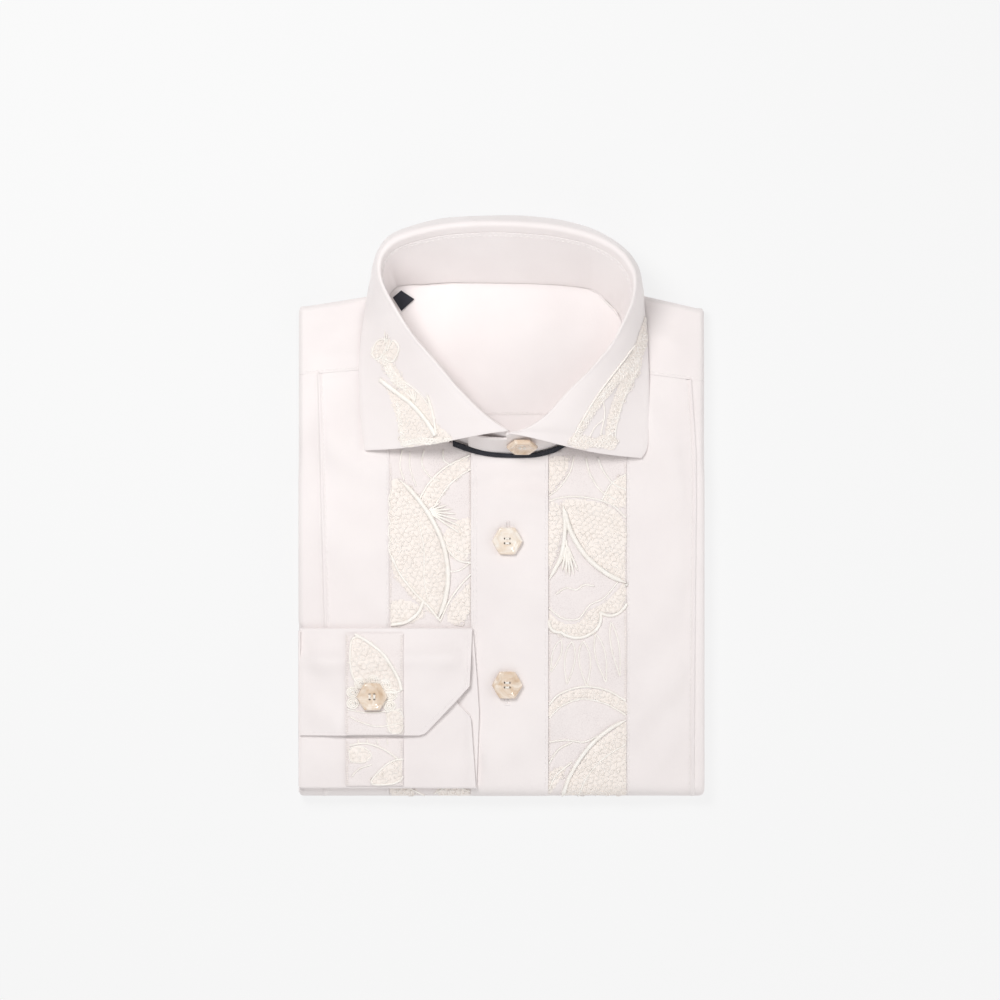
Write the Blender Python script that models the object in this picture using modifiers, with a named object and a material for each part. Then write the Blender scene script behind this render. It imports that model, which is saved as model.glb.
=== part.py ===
"""A long-sleeved dress shirt with lace and embroidery, folded flat as for a shop shelf.

Sizes are in millimetres and become metres when a mesh is made. +X is to the viewer's right,
+Y runs from the folded hem to the collar and +Z is up from the surface it lies on.
"""

import math

import bmesh
import bpy
import numpy as np
from mathutils import Matrix

MM = 0.001

# The folded pack
HALF_WIDTH = 113.0
EDGE_ROLL = 3.0  # how far a rolled side edge stands out past its flat cloth
ROLL_X = HALF_WIDTH - EDGE_ROLL
PACK_HEIGHT = 14.0
SLAB = 6.0  # thickness of the upper and of the lower fold, with a slit between them
FOLD_RADIUS = PACK_HEIGHT / 2
FOLD_Y = -161.5 + FOLD_RADIUS
FOLD_EASE = 0.4  # extra room for the hidden layers where the bottom fold turns
TAIL_HEM_Y = 11.0
THICK_FROM_Y = 13.0  # the upper fold comes down to the surface past the tail hem
THICK_TO_Y = 28.0
SHOULDER_ROLL = 4.0
SHOULDER_FALL = 3.4
SHOULDER_FALL_RUN = 40.0

# Cloth
WALL = 1.2
SEAM_GAP = 0.3
COLLAR_WALL = 1.4
CUFF_WALL = 1.4
LACE_WALL = 1.0
PLACKET_RAISE = 1.0
TUCK_RAISE = 0.8
TUCK_HALF_WIDTH = 1.6

# Seams across the front, from the left
LACE_LEFT_X = (-62.5, -16.5)
LACE_RIGHT_X = (25.5, 69.7)
YOKE_BACK_SEAM_Y = 50.6
CORE_FLAT_Y = 50.0  # the hidden layers lie flat up to here, then fall to the shoulder edge

# Shoulder edge and forward yoke seam: x, y
SHOULDER_EDGE = ((-113, 111.0), (-90, 114.5), (-75, 117.0), (-68, 122.0), (-60, 128.0), (-50, 130.6),
                 (-36, 131.4), (0, 131.6), (34, 131.2), (48, 129.5), (58, 125.5), (68, 120.5), (80, 117.2),
                 (113, 109.7))
YOKE_SEAM = ((-113, 72.8), (-78, 75.6), (0, 76.0), (69, 75.0), (81, 73.3), (113, 69.2))
# Pin tucks: y, x of the tuck
LEFT_TUCK = ((-161.5, -98.4), (-67, -97.9), (72, -101.6))
RIGHT_TUCK = ((-161.5, 106.4), (-89, 106.9), (5, 107.8), (31, 107.6), (71, 105.0))

# The collar, from its left front round the back to its right front
COLLAR_COLUMNS = ("ridge_x", "ridge_y", "ridge_z", "base_x", "base_y", "edge_x", "edge_y", "edge_z")
COLLAR_STATIONS = (
    (2.4, 41.2, 38.0, 3.0, 30.8, -75.8, 30.9, 15.1),
    (-4.7, 46.2, 38.2, -13.1, 31.8, -77.0, 41.5, 15.1),
    (-12.4, 52.5, 38.5, -27.5, 36.6, -78.1, 52.5, 15.1),
    (-23.9, 64.3, 39.0, -41.4, 50.6, -78.8, 65.6, 15.1),
    (-36.5, 79.1, 40.0, -52.5, 65.6, -78.8, 80.0, 15.0),
    (-49.1, 93.9, 41.0, -62.0, 84.0, -77.5, 95.0, 14.6),
    (-58.4, 108.1, 42.0, -65.6, 99.5, -75.3, 109.0, 13.4),
    (-65.8, 121.9, 43.0, -64.9, 112.2, -73.6, 120.8, 9.0),
    (-67.6, 132.5, 44.0, -63.1, 117.0, -71.3, 131.0, 4.0),
    (-64.4, 141.4, 44.0, -59.7, 121.0, -67.0, 141.0, 2.2),
    (-55.7, 148.0, 43.5, -53.0, 123.2, -58.9, 149.6, 1.6),
    (-37.0, 153.3, 43.0, -36.4, 124.0, -39.9, 157.6, 1.4),
    (-19.5, 155.5, 42.2, -19.2, 124.3, -20.4, 160.0, 1.4),
    (-1.9, 156.1, 42.0, -1.9, 124.2, -1.9, 160.7, 1.4),
    (15.6, 155.2, 42.2, 15.3, 123.8, 16.5, 160.0, 1.4),
    (33.1, 153.0, 43.0, 32.5, 123.0, 34.4, 157.6, 1.4),
    (51.2, 148.0, 43.5, 49.2, 120.6, 53.4, 151.0, 1.6),
    (64.9, 140.3, 44.0, 58.6, 114.8, 67.9, 141.2, 2.2),
    (72.1, 130.4, 44.0, 64.4, 108.1, 75.7, 131.0, 4.0),
    (73.6, 121.7, 43.0, 68.0, 101.5, 78.4, 120.6, 8.5),
    (71.9, 112.5, 42.0, 69.9, 94.0, 79.0, 110.5, 12.6),
    (67.2, 101.0, 41.0, 70.4, 85.0, 79.9, 98.5, 14.4),
    (60.4, 88.4, 40.0, 69.6, 75.6, 80.8, 86.5, 15.0),
    (50.0, 75.8, 39.5, 64.5, 64.4, 81.4, 74.4, 15.1),
    (38.5, 64.3, 39.0, 55.2, 52.2, 81.6, 61.7, 15.1),
    (26.9, 51.4, 38.5, 43.6, 40.2, 81.5, 49.0, 15.1),
    (17.6, 44.3, 38.2, 32.0, 32.8, 81.3, 38.5, 15.1),
    (10.9, 41.2, 38.0, 20.3, 29.6, 80.4, 31.4, 15.1),
    (3.7, 39.9, 38.0, 7.5, 28.6, 77.6, 26.8, 15.1),
)
RIDGE_RADIUS = 1.6
LEAF_LIP = 5.6  # the leaf turns in over the ridge and meets the stand this far below it
LEAF_BULGE = 2.6
FRONT_EDGE_BOW = 2.6
STAND_LEAN = (-1.2, 11.6, 24.8)  # rise of the buttoned stand ends, from base to ridge line
# Ends of the buttoned stand: x, y of the base, share of full height
UNDER_END = ((19.0, 31.6, 0.62), (14.0, 31.2, 0.74), (8.0, 30.9, 0.78))
OVER_END = ((1.0, 28.6, 0.78), (-4.5, 28.9, 0.74), (-8.5, 29.3, 0.58))
STAND_FOOT = 0.6  # clears the slanting lower edge from the cloth under it
LIP_GAP = 1.6  # between the stand and the lip of the leaf, where the collar twists
STAND_PARTS = (0.0, 0.35, 0.7, 1.0)

# The black tape along the front of the neckline: x, y of its lower edge
TAPE_LINE = ((-27, 34.0), (-20, 31.4), (-13, 29.3), (-4, 27.6), (8, 27.0), (19, 27.6), (28, 29.9), (36, 33.2))
TAPE_WALL = 1.0
TAPE_Z = 15.9
TAPE_RISE = (0.0, 0.9, 1.8)
SIZE_TAB_CENTRE = (-54.9, 114.6)
SIZE_TAB_CORNERS = ((-0.9, 5.4), (6.3, 0.6), (-0.9, -6.0), (-5.6, 1.4))

# The cuff, folded flat over the lower left of the front
CUFF_LEFT_X = -111.2
CUFF_TOP_Y = -68.3
CUFF_BOTTOM_Y = -156.2
CUFF_LAYERS = (1.0, 2.8, 4.6)  # middle of the back, underlap and overlap above the front
CUFF_FOLD = 0.9
OVERLAP_EDGE_Y = -127.2
UNDERLAP_END_Y = -92.0
OVERLAP_RISE_Y = (-78.0, -88.0)
# Hem of the cuff: y, x
BACK_HEM = ((-156.2, -13.8), (-114.5, -12.4), (-100, -13.3), (-68.3, -15.8))
UNDERLAP_HEM = ((-156.2, -14.2), (-117.2, -16.9), (-109.4, -24.7), (-92, -24.9))
OVERLAP_HEM = ((-127.2, -46.0), (-126.2, -42.4), (-100.0, -17.6), (-68.3, -16.2))
CUFF_LACE_X = (-86.5, -54.5)
CUFF_SQUEEZE = 1.8  # the side edge is drawn in where the sleeve passes round it
SLEEVE_WALL = 1.2
SLEEVE_SLIT_X = -106.5
SLEEVE_TUCK_Y = -152.8

# Buttons: six-sided, with a dish and four thread holes
BUTTON_FLATS = 15.0
BUTTON_THICK = 3.0
BUTTON_X = 3.2
BUTTON_YS = (-19.4, -99.4)
CUFF_BUTTON = (-71.7, -105.6)
COLLAR_BUTTON = (11.4, 26.0)  # x, z

WHITE = (0.93, 0.90, 0.90)
CREAM = (0.90, 0.86, 0.80)
NAVY = (0.012, 0.013, 0.022)
PEARL = (0.80, 0.70, 0.58)


def smoothstep(low, high, value):
    t = min(1.0, max(0.0, (value - low) / (high - low)))
    return t * t * (3 - 2 * t)


def table_at(rows, value):
    return float(np.interp(value, [row[0] for row in rows], [row[1] for row in rows]))


def spread(first, last, count):
    return [float(v) for v in np.linspace(first, last, count)]


def shoulder_y(x):
    return table_at(SHOULDER_EDGE, x)


def top_z(x, y):
    """Height of the outer cloth on the upper side of the pack, before its edges roll over."""
    fall = SHOULDER_FALL * smoothstep(shoulder_y(x) - SHOULDER_FALL_RUN, shoulder_y(x), y)
    calm = 1 - smoothstep(80, 100, abs(x))
    wave = 0.22 * math.sin(x / 23 + y / 41) + 0.14 * math.sin(y / 17 - x / 37)
    return PACK_HEIGHT - fall + wave * calm


def slab_depth(y):
    """Thickness of the upper fold: thin over the folded tail, the whole pack past it."""
    return SLAB + (PACK_HEIGHT - SLAB) * smoothstep(THICK_FROM_Y, THICK_TO_Y, y)


def ramp_clearance(y):
    """More room over the back panel where it slopes up over the folded tail."""
    return 0.8 * smoothstep(12, 16, y) * (1 - smoothstep(THICK_TO_Y - 2, THICK_TO_Y + 1, y))


def squeeze(y, z):
    """How far the left side edge is drawn in by the sleeve that passes round it."""
    if z < PACK_HEIGHT / 2:
        return 0.0
    return CUFF_SQUEEZE * smoothstep(-160.0, -156.6, y) * (1 - smoothstep(-68.0, -65.0, y))


def new_object(name, mesh_data, colour, roughness=0.8, collection="shirt"):
    mesh = bpy.data.meshes.new(name)
    mesh_data.to_mesh(mesh)
    mesh_data.free()
    obj = bpy.data.objects.new(name, mesh)
    bpy.data.collections[collection].objects.link(obj)
    material = bpy.data.materials.new(name)
    material.use_nodes = True
    shader = material.node_tree.nodes["Principled BSDF"]
    shader.inputs["Base Color"].default_value = (*colour, 1.0)
    shader.inputs["Roughness"].default_value = roughness
    shader.inputs["Metallic"].default_value = 0.0
    mesh.materials.append(material)
    mesh.shade_smooth()
    mesh.set_sharp_from_angle(angle=math.radians(40))
    return obj


def grid_mesh(rows, up):
    """A sheet of quads through rows of points in mm, facing along up on average."""
    sheet = bmesh.new()
    points = [[sheet.verts.new([c * MM for c in point]) for point in row] for row in rows]
    for row, after in zip(points, points[1:]):
        for i in range(len(row) - 1):
            sheet.faces.new((row[i], row[i + 1], after[i + 1], after[i]))
    sheet.normal_update()
    facing = sum(face.normal.dot(up) * face.calc_area() for face in sheet.faces)
    if facing < 0:
        bmesh.ops.reverse_faces(sheet, faces=sheet.faces)
    return sheet


def add_wall(obj, thickness, offset):
    wall = obj.modifiers.new("wall", "SOLIDIFY")
    wall.thickness = thickness * MM
    wall.offset = offset
    return wall


def cut_with(obj, cutter):
    cut = obj.modifiers.new("cut", "BOOLEAN")
    cut.operation = "DIFFERENCE"
    cut.object = cutter
    cut.solver = "EXACT"


def fold_path(x, top_y, top_rows, under_rows):
    """The outer line of one strip: over the top, round the bottom fold and back along the underside.

    Each entry holds y, z, the outward normal's y and z, and the thickness of the layers under it.
    """
    path = []
    for y in [top_y] + [y for y in top_rows if y < top_y - 1]:
        path.append((y, top_z(x, y), 0.0, 1.0, slab_depth(y)))
    start = top_z(x, FOLD_Y)
    for step in range(9):
        angle = math.pi * step / 8
        # The fold is round, and its upper end meets the height of the cloth over it.
        z = FOLD_RADIUS + FOLD_RADIUS * math.cos(angle)
        z += (start - PACK_HEIGHT) * max(0.0, math.cos(angle))
        path.append((FOLD_Y - FOLD_RADIUS * math.sin(angle), z, -math.sin(angle), math.cos(angle), SLAB))
    for y in under_rows:
        path.append((y, 0.0, 0.0, -1.0, SLAB))
    return path


RAMP_ROWS = (24.5, 21.0, 17.5, 14.5)
TOP_ROWS = (50.0, 30.0, 25.5, 21.0, 16.5, 12.0, -27.0, -64.5, -68.5, -112.0)
PLAIN_TOP_ROWS = (40.0, 5.0, -30.0, -66.0, -110.0)
UNDER_ROWS = (-100.0, -45.0, TAIL_HEM_Y)


def strip_rows(columns, top_rows):
    """Rows of points for a strip. A column is its x as a function of y, its top, its raise and its roll."""
    lines = []
    for column in columns:
        side = column.get("side", 0)
        x_top = column["x"](column["top"])
        line = []
        for y, z, ny, nz, depth in fold_path(x_top, column["top"], top_rows, UNDER_ROWS):
            on_top = max(0.0, nz)
            inward = (1 - math.cos(column.get("roll", 0.0))) * depth / 2
            lift = column.get("raise", 0.0) * on_top
            if column.get("pressed"):
                lift *= 1 - squeeze(y, z) / CUFF_SQUEEZE
            x = column["x"](y) + side * EDGE_ROLL * math.sin(column.get("roll", 0.0))
            if side < 0:
                x += squeeze(y, z)
            line.append((x, y + ny * (lift - inward), z + nz * (lift - inward)))
        lines.append(line)
    return lines


def constant(value):
    return lambda y: value


def between(tuck, offset, outer_x, share):
    """x that lies a share of the way from a tuck's side to the panel's edge."""
    return lambda y: (table_at(tuck, y) + offset) * (1 - share) + outer_x * share


def front_panel(name, side, seam_x, tuck):
    """A plain front panel, with its side edge rolled under and a pin tuck along it."""
    edge_x = side * ROLL_X
    seam_top = table_at(YOKE_SEAM, edge_x) - SEAM_GAP
    columns = []
    for step in range(6, -1, -1):
        columns.append({"x": constant(edge_x), "top": seam_top, "side": side, "roll": math.pi * step / 6})
    near, far = side * TUCK_HALF_WIDTH, side * TUCK_HALF_WIDTH / 2
    top = table_at(YOKE_SEAM, table_at(tuck, 72)) - SEAM_GAP
    columns.append({"x": between(tuck, near, 0, 0), "top": top})
    for offset in (far, -far):
        columns.append({"x": between(tuck, offset, 0, 0), "top": top, "raise": TUCK_RAISE, "pressed": side < 0})
    columns.append({"x": between(tuck, -near, 0, 0), "top": top})
    for share in (0.33, 0.67, 1.0):
        column_x = between(tuck, -near, seam_x, share)
        columns.append({"x": column_x, "top": table_at(YOKE_SEAM, column_x(72)) - SEAM_GAP})
    obj = new_object(name, grid_mesh(strip_rows(columns, TOP_ROWS), (0, 0, 1)), WHITE)
    add_wall(obj, WALL, -1)
    return obj


def fix_facing(obj):
    """Turns a folded sheet's faces so that the uppermost one looks up."""
    mesh = bmesh.new()
    mesh.from_mesh(obj.data)
    mesh.faces.ensure_lookup_table()
    highest = max(mesh.faces, key=lambda face: face.calc_center_median().z + 0.01 * abs(face.normal.z))
    if highest.normal.z < 0:
        bmesh.ops.reverse_faces(mesh, faces=mesh.faces)
    mesh.to_mesh(obj.data)
    mesh.free()


def plain_strip(name, xs, wall, colour, lift=0.0):
    """A strip with no rolled edge: lace, or the placket when it is lifted."""
    columns = []
    for x in xs:
        columns.append({"x": constant(x), "top": table_at(YOKE_SEAM, x) - SEAM_GAP, "raise": lift})
    lines = strip_rows(columns, PLAIN_TOP_ROWS)
    obj = new_object(name, grid_mesh(lines, (0, 0, 1)), colour)
    wall_modifier = add_wall(obj, wall + lift, -1)
    if lift:
        group = obj.vertex_groups.new(name="raised")
        for vertex in obj.data.vertices:
            height = vertex.co.z / MM
            group.add([vertex.index], smoothstep(FOLD_RADIUS, PACK_HEIGHT, height), "REPLACE")
        wall_modifier.vertex_group = "raised"
        wall_modifier.thickness_vertex_group = wall / (wall + lift)
    return obj


def yoke_line(x, share, side):
    """One column of the yoke: from the forward seam, over the shoulder edge and along the underside."""
    edge = shoulder_y(x) - SHOULDER_ROLL
    seam = table_at(YOKE_SEAM, x)
    line = []
    for row in range(4):
        v = row / 4
        y = seam + (edge - seam) * v
        roll = share * math.radians(150 - 66 * v)
        height = top_z(x, y)
        line.append((x + side * EDGE_ROLL * math.sin(roll), y, height / 2 * (1 + math.cos(roll))))
    height = top_z(x, edge)
    narrow = (ROLL_X - 2.5) / ROLL_X
    for step in range(9):
        turn = math.pi * step / 8
        roll = share * math.radians(84 - 66 * step / 8)
        scale = 1 + (narrow - 1) * smoothstep(0, math.pi, turn)
        z = height / 2 * (1 + math.cos(turn) * math.cos(roll))
        line.append(((x + side * EDGE_ROLL * math.sin(roll)) * scale, edge + SHOULDER_ROLL * math.sin(turn), z))
    last_x, _, last_z = line[-1]
    for y in (85.0, YOKE_BACK_SEAM_Y + SEAM_GAP):
        line.append((last_x, y, last_z))
    return line


def make_yoke():
    columns = [(-ROLL_X, share, -1) for share in (1.0, 0.75, 0.5, 0.25)]
    columns += [(x, 0.0, 0) for x in spread(-ROLL_X, ROLL_X, 19)]
    columns += [(ROLL_X, share, 1) for share in (0.25, 0.5, 0.75, 1.0)]
    obj = new_object("yoke", grid_mesh([yoke_line(*column) for column in columns], (0, 0, 1)), WHITE)
    add_wall(obj, WALL, -1)
    return obj


def inner_sheet(name, y_first, y_last, rows):
    """Cloth that lies under the fronts and shows through the neck."""
    lines = []
    for x in spread(-104, 104, 15):
        last = min(y_last, shoulder_y(x) - SHOULDER_ROLL - 1.5)
        ys = [y_first + (last - y_first) * row / rows for row in range(rows + 1)]
        lines.append([(x, y, top_z(x, y) - WALL - SEAM_GAP) for y in ys])
    obj = new_object(name, grid_mesh(lines, (0, 0, 1)), WHITE)
    add_wall(obj, WALL, -1)
    return obj


def make_back_lower():
    """The back panel on the underside, from the yoke seam to where the folded tail covers it."""
    lines = []
    for x in spread(-108.6, 108.6, 7):
        line = [(x, YOKE_BACK_SEAM_Y - SEAM_GAP, 0.0), (x, THICK_TO_Y, 0.0)]
        for y in RAMP_ROWS:
            line.append((x, y, PACK_HEIGHT - slab_depth(y)))
        lines.append(line)
    obj = new_object("back_lower", grid_mesh(lines, (0, 0, -1)), WHITE)
    add_wall(obj, WALL, -1)
    return obj


def core_section(y_at, top_at, under, lobe, lower, notch, inset=0.0):
    """One closed section of the hidden layers.

    y_at and top_at give y and the upper height at an x, under the lower height, lobe how far the
    rounded edge stands out, lower whether the folded tail is there and notch the depth of the
    slit at the left and the right.
    """
    clear = WALL + SEAM_GAP
    half = [side * (ROLL_X - inset) for side in (-1, 1)]
    section = []
    drawn_in = squeeze(y_at(half[0]), top_at(half[0]))
    for x in spread(half[0] + drawn_in, half[1], 19):
        section.append((x, y_at(x), top_at(x)))
    sides = []
    for side, slit in ((1, notch[1]), (-1, notch[0])):
        x = half[0] if side < 0 else half[1]
        squeezed = drawn_in if side < 0 else 0.0
        high = top_at(x)
        low = under
        middle, reach = (high + low) / 2, (high - low) / 2
        line = []
        for step in (1, 2, 3):
            angle = math.pi * step / 4
            line.append((x + side * lobe * math.sin(angle) + squeezed, middle + reach * math.cos(angle)))
        line.append((x - side * 0.2 + squeezed, low))
        line.append((x - side * slit, low))
        if lower:
            line.append((x - side * slit, SLAB - clear))
            line.append((x - side * 0.2, SLAB - clear))
            for step in (1, 2, 3):
                angle = math.pi * step / 4
                z = SLAB / 2 + (SLAB / 2 - clear) * math.cos(angle)
                line.append((x + side * lobe * math.sin(angle), z))
        else:
            for step in range(5):
                line.append((x - side * (slit + 0.6 + 0.5 * step), low))
        sides.append([(px, y_at(px), pz) for px, pz in line])
    section += sides[0]
    bottom = clear if lower else under
    margin = 0.0 if lower else 6.0
    for x in spread(half[1] - margin, half[0] + margin, 9):
        section.append((x, y_at(x), bottom))
    section += sides[1][::-1]
    return section


def make_folded_layers():
    """The hidden layers as one solid, rounded and layered at its edges."""
    clear = WALL + SEAM_GAP
    sections = []

    def flat_end(y, shrink):
        """A section in the bottom fold, which the outer cloth wraps."""
        radius = FOLD_RADIUS - clear - FOLD_EASE
        z_reach = radius * shrink
        x_end = ROLL_X - 3.2
        section = [(x, y, FOLD_RADIUS + z_reach) for x in spread(-x_end, x_end, 19)]
        heights = spread(FOLD_RADIUS + z_reach * 0.9, FOLD_RADIUS - z_reach * 0.9, 10)
        section += [(x_end, y, z) for z in heights]
        section += [(x, y, FOLD_RADIUS - z_reach) for x in spread(x_end, -x_end, 9)]
        section += [(-x_end, y, z) for z in heights[::-1]]
        return section

    for angle in (86, 62, 40, 20, 6):
        turn = math.radians(angle)
        y = FOLD_Y - (FOLD_RADIUS - clear - FOLD_EASE) * math.sin(turn)
        sections.append(flat_end(y, math.cos(turn)))
    for y in (FOLD_Y + 0.9, -112.0, -68.5, -64.5, -27.0, TAIL_HEM_Y):
        beside_sleeve = y < -64
        slits = (6.5 if beside_sleeve else 0.8, 0.8)
        low = PACK_HEIGHT - SLAB + clear
        sections.append(core_section(constant(y), lambda x, y=y: top_z(x, y) - clear, low, EDGE_ROLL - clear,
                                     True, slits))
    deep = clear + WALL + SEAM_GAP
    for y in (TAIL_HEM_Y + 0.4, 14.5, 17.5, 19.3):
        low = PACK_HEIGHT - slab_depth(y) + clear + ramp_clearance(y)
        sections.append(core_section(constant(y), lambda x, y=y: top_z(x, y) - clear, low, EDGE_ROLL - clear,
                                     False, (0.8, 0.8)))
    for y in (19.9, 21.0, 24.5, THICK_TO_Y + 0.5, CORE_FLAT_Y):
        low = PACK_HEIGHT - slab_depth(y) + clear + ramp_clearance(y)
        sections.append(core_section(constant(y), lambda x, y=y: top_z(x, y) - deep, low, EDGE_ROLL - clear,
                                     False, (0.8, 0.8)))

    def shoulder_row(share, turn):
        def flat_y(x):
            edge = shoulder_y(min(max(x, -ROLL_X), ROLL_X)) - SHOULDER_ROLL - 0.9
            return CORE_FLAT_Y + (edge - CORE_FLAT_Y) * share

        def y_at(x):
            return flat_y(x) + (SHOULDER_ROLL - clear - 0.5) * math.sin(turn)

        def top_at(x):
            flat = top_z(x, flat_y(x))
            middle = (flat - deep + clear) / 2
            return middle + (flat - deep - clear) / 2 * math.cos(turn)

        low = 6.2 - (6.2 - clear) * math.cos(turn)
        low = min(low, top_at(0.0) - 0.6)
        lobe = (EDGE_ROLL - clear) * (1 - 0.6 * math.sin(turn))
        inset = 1.5 * share + 3.0 * math.sin(turn)
        return core_section(y_at, top_at, low, lobe, False, (0.8, 0.8), inset)

    for share in (0.45, 0.8, 1.0):
        sections.append(shoulder_row(share, 0.0))
    for angle in (35, 62, 80):
        sections.append(shoulder_row(1.0, math.radians(angle)))

    solid = bmesh.new()
    loops = [[solid.verts.new([c * MM for c in point]) for point in section] for section in sections]
    for loop, after in zip(loops, loops[1:]):
        count = len(loop)
        for i in range(count):
            j = (i + 1) % count
            solid.faces.new((loop[i], loop[j], after[j], after[i]))
    for loop in (loops[0], loops[-1]):
        solid.faces.new(loop)
    bmesh.ops.triangulate(solid, faces=[face for face in solid.faces if len(face.verts) > 4])
    bmesh.ops.recalc_face_normals(solid, faces=solid.faces)
    obj = new_object("folded_layers", solid, WHITE)
    return obj


def vec(*values):
    return np.array(values, float)


def unit(vector):
    return vector / np.linalg.norm(vector)


def base_z(x, y):
    """Height of the stand's lower edge: just over the cloth that shows inside the neck."""
    return top_z(x, y) - WALL


def leaf_line(station, front):
    """The leaf's middle line at a station: up the lip, over the ridge and down to its outer edge."""
    row = dict(zip(COLLAR_COLUMNS, station))
    ridge = vec(row["ridge_x"], row["ridge_y"], row["ridge_z"])
    base = vec(row["base_x"], row["base_y"], base_z(row["base_x"], row["base_y"]))
    edge = vec(row["edge_x"], row["edge_y"], row["edge_z"])
    rise = unit(ridge - base)
    fall = unit(edge - ridge)
    outward = unit(fall - rise * fall.dot(rise))
    start = ridge - RIDGE_RADIUS * (outward + rise)
    line = [start - rise * (LEAF_LIP - RIDGE_RADIUS), start - rise * (LEAF_LIP - RIDGE_RADIUS) * 0.4]
    centre = start + RIDGE_RADIUS * outward
    turn = math.acos(max(-1.0, min(1.0, rise.dot(fall))))
    for step in range(5):
        angle = turn * step / 4
        line.append(centre + RIDGE_RADIUS * (rise * math.sin(angle) - outward * math.cos(angle)))
    begin = line[-1]
    span = edge - begin
    side = unit(np.cross(fall, np.cross(rise, fall)))
    for share in (0.22, 0.48, 0.75, 1.0):
        point = begin + span * share + side * LEAF_BULGE * math.sin(math.pi * share)
        if front:
            point = point - vec(0, FRONT_EDGE_BOW * math.sin(math.pi * share), 0)
        line.append(point)
    return line


def collar_lines():
    last = len(COLLAR_STATIONS) - 1
    return [leaf_line(station, index in (0, last)) for index, station in enumerate(COLLAR_STATIONS)]


def stand_line(base_x, base_y, ridge, share=1.0):
    """The stand's middle line: from the neckline up to the lip of the leaf."""
    base = vec(base_x, base_y, base_z(base_x, base_y))
    height = np.linalg.norm(ridge - base)
    rise = (ridge - base) / height
    base = base + rise * STAND_FOOT
    reach = (height - LEAF_LIP - STAND_FOOT - SEAM_GAP) * share
    return [base + rise * reach * part for part in STAND_PARTS]


def make_collar():
    lines = collar_lines()
    leaf = new_object("collar_leaf", grid_mesh(lines, (0, 0, 1)), WHITE)
    add_wall(leaf, COLLAR_WALL, 0)
    lean = vec(*STAND_LEAN)
    stand = []
    for x, y, share in UNDER_END:
        stand.append(stand_line(x, y, vec(x, y, base_z(x, y)) + lean, share))
    for line, station in zip(lines, COLLAR_STATIONS):
        row = dict(zip(COLLAR_COLUMNS, station))
        # The stand ends where the leaf's lip begins, along the same slope.
        base = vec(row["base_x"], row["base_y"], base_z(row["base_x"], row["base_y"]))
        rise = unit(line[1] - line[0])
        base = base + rise * STAND_FOOT
        top = line[0] - rise * LIP_GAP
        stand.append([base + (top - base) * part for part in STAND_PARTS])
    for x, y, share in OVER_END:
        stand.append(stand_line(x, y, vec(x, y, base_z(x, y)) + lean, share))
    obj = new_object("collar_stand", grid_mesh(stand, (0, 0, 1)), WHITE)
    add_wall(obj, COLLAR_WALL, 0)
    return leaf, obj


def leaf_patch(name, lines, first, last, shares):
    """Lace that lies on the leaf: its points moved out, between two shares of the leaf's fall."""
    rows = []
    for index in range(first, last + 1):
        line = lines[index][6:]
        lengths = [0.0]
        for a, b in zip(line, line[1:]):
            lengths.append(lengths[-1] + float(np.linalg.norm(b - a)))
        low, high = shares[index - first]
        row = []
        for share in spread(low, high, 4):
            at = share * lengths[-1]
            row.append(vec(*[np.interp(at, lengths, [point[axis] for point in line]) for axis in range(3)]))
        rows.append(row)
    moved = []
    for i, row in enumerate(rows):
        out = []
        for j, point in enumerate(row):
            along = rows[min(i + 1, len(rows) - 1)][j] - rows[max(i - 1, 0)][j]
            across = row[min(j + 1, len(row) - 1)] - row[max(j - 1, 0)]
            normal = unit(np.cross(along, across))
            if normal[2] < 0:
                normal = -normal
            out.append(point + normal * (COLLAR_WALL / 2 + SEAM_GAP + 0.3 + LACE_WALL / 2))
        moved.append(out)
    obj = new_object(name, grid_mesh(moved, (0, 0, 1)), CREAM)
    add_wall(obj, LACE_WALL, 0)
    return obj


def neck_outline():
    """The neckline as a closed line, just clear of the stand, which may lean out over it."""
    points = [vec(row[3], row[4]) for row in COLLAR_STATIONS[2:]]
    leans = [(vec(row[0], row[1]) - vec(row[3], row[4])) / (row[2] - PACK_HEIGHT) for row in COLLAR_STATIONS[2:]]
    points += [vec(1.0, 28.6), vec(-8.5, 29.3), vec(-15.0, 31.2)]
    leans += [vec(0, 0.45)] * 3
    centre = vec(2.0, 80.0)
    moved = []
    for i, (point, lean) in enumerate(zip(points, leans)):
        along = unit(points[(i + 1) % len(points)] - points[i - 1])
        normal = vec(along[1], -along[0])
        if normal.dot(point - centre) < 0:
            normal = -normal
        slope = lean.dot(normal)
        wall = COLLAR_WALL / 2 * math.hypot(1, slope) + SEAM_GAP
        moved.append(point + normal * (wall + 0.1 + 2.0 * max(0.0, slope)))
    return moved


def make_neck_cutter():
    """A prism through the upper cloth, where the neck opens."""
    outline = neck_outline()
    curve = bpy.data.curves.new("neck_hole", "CURVE")
    curve.dimensions = "2D"
    curve.fill_mode = "BOTH"
    curve.extrude = 18 * MM
    spline = curve.splines.new("POLY")
    spline.points.add(len(outline) - 1)
    for point, (x, y) in zip(spline.points, outline):
        point.co = (x * MM, y * MM, 0, 1)
    spline.use_cyclic_u = True
    source = bpy.data.objects.new("neck_hole_curve", curve)
    bpy.data.collections["cutters"].objects.link(source)
    source.location.z = 22.5 * MM
    bpy.context.view_layer.update()
    graph = bpy.context.evaluated_depsgraph_get()
    mesh = bpy.data.meshes.new_from_object(source.evaluated_get(graph))
    prism = bmesh.new()
    prism.from_mesh(mesh)
    bmesh.ops.remove_doubles(prism, verts=prism.verts, dist=1e-6)
    bmesh.ops.recalc_face_normals(prism, faces=prism.faces)
    prism.to_mesh(mesh)
    prism.free()
    cutter = bpy.data.objects.new("neck_hole", mesh)
    cutter.matrix_world = source.matrix_world
    bpy.data.collections["cutters"].objects.link(cutter)
    bpy.data.objects.remove(source)
    cutter.hide_render = True
    cutter.display_type = "WIRE"
    return cutter


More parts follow.
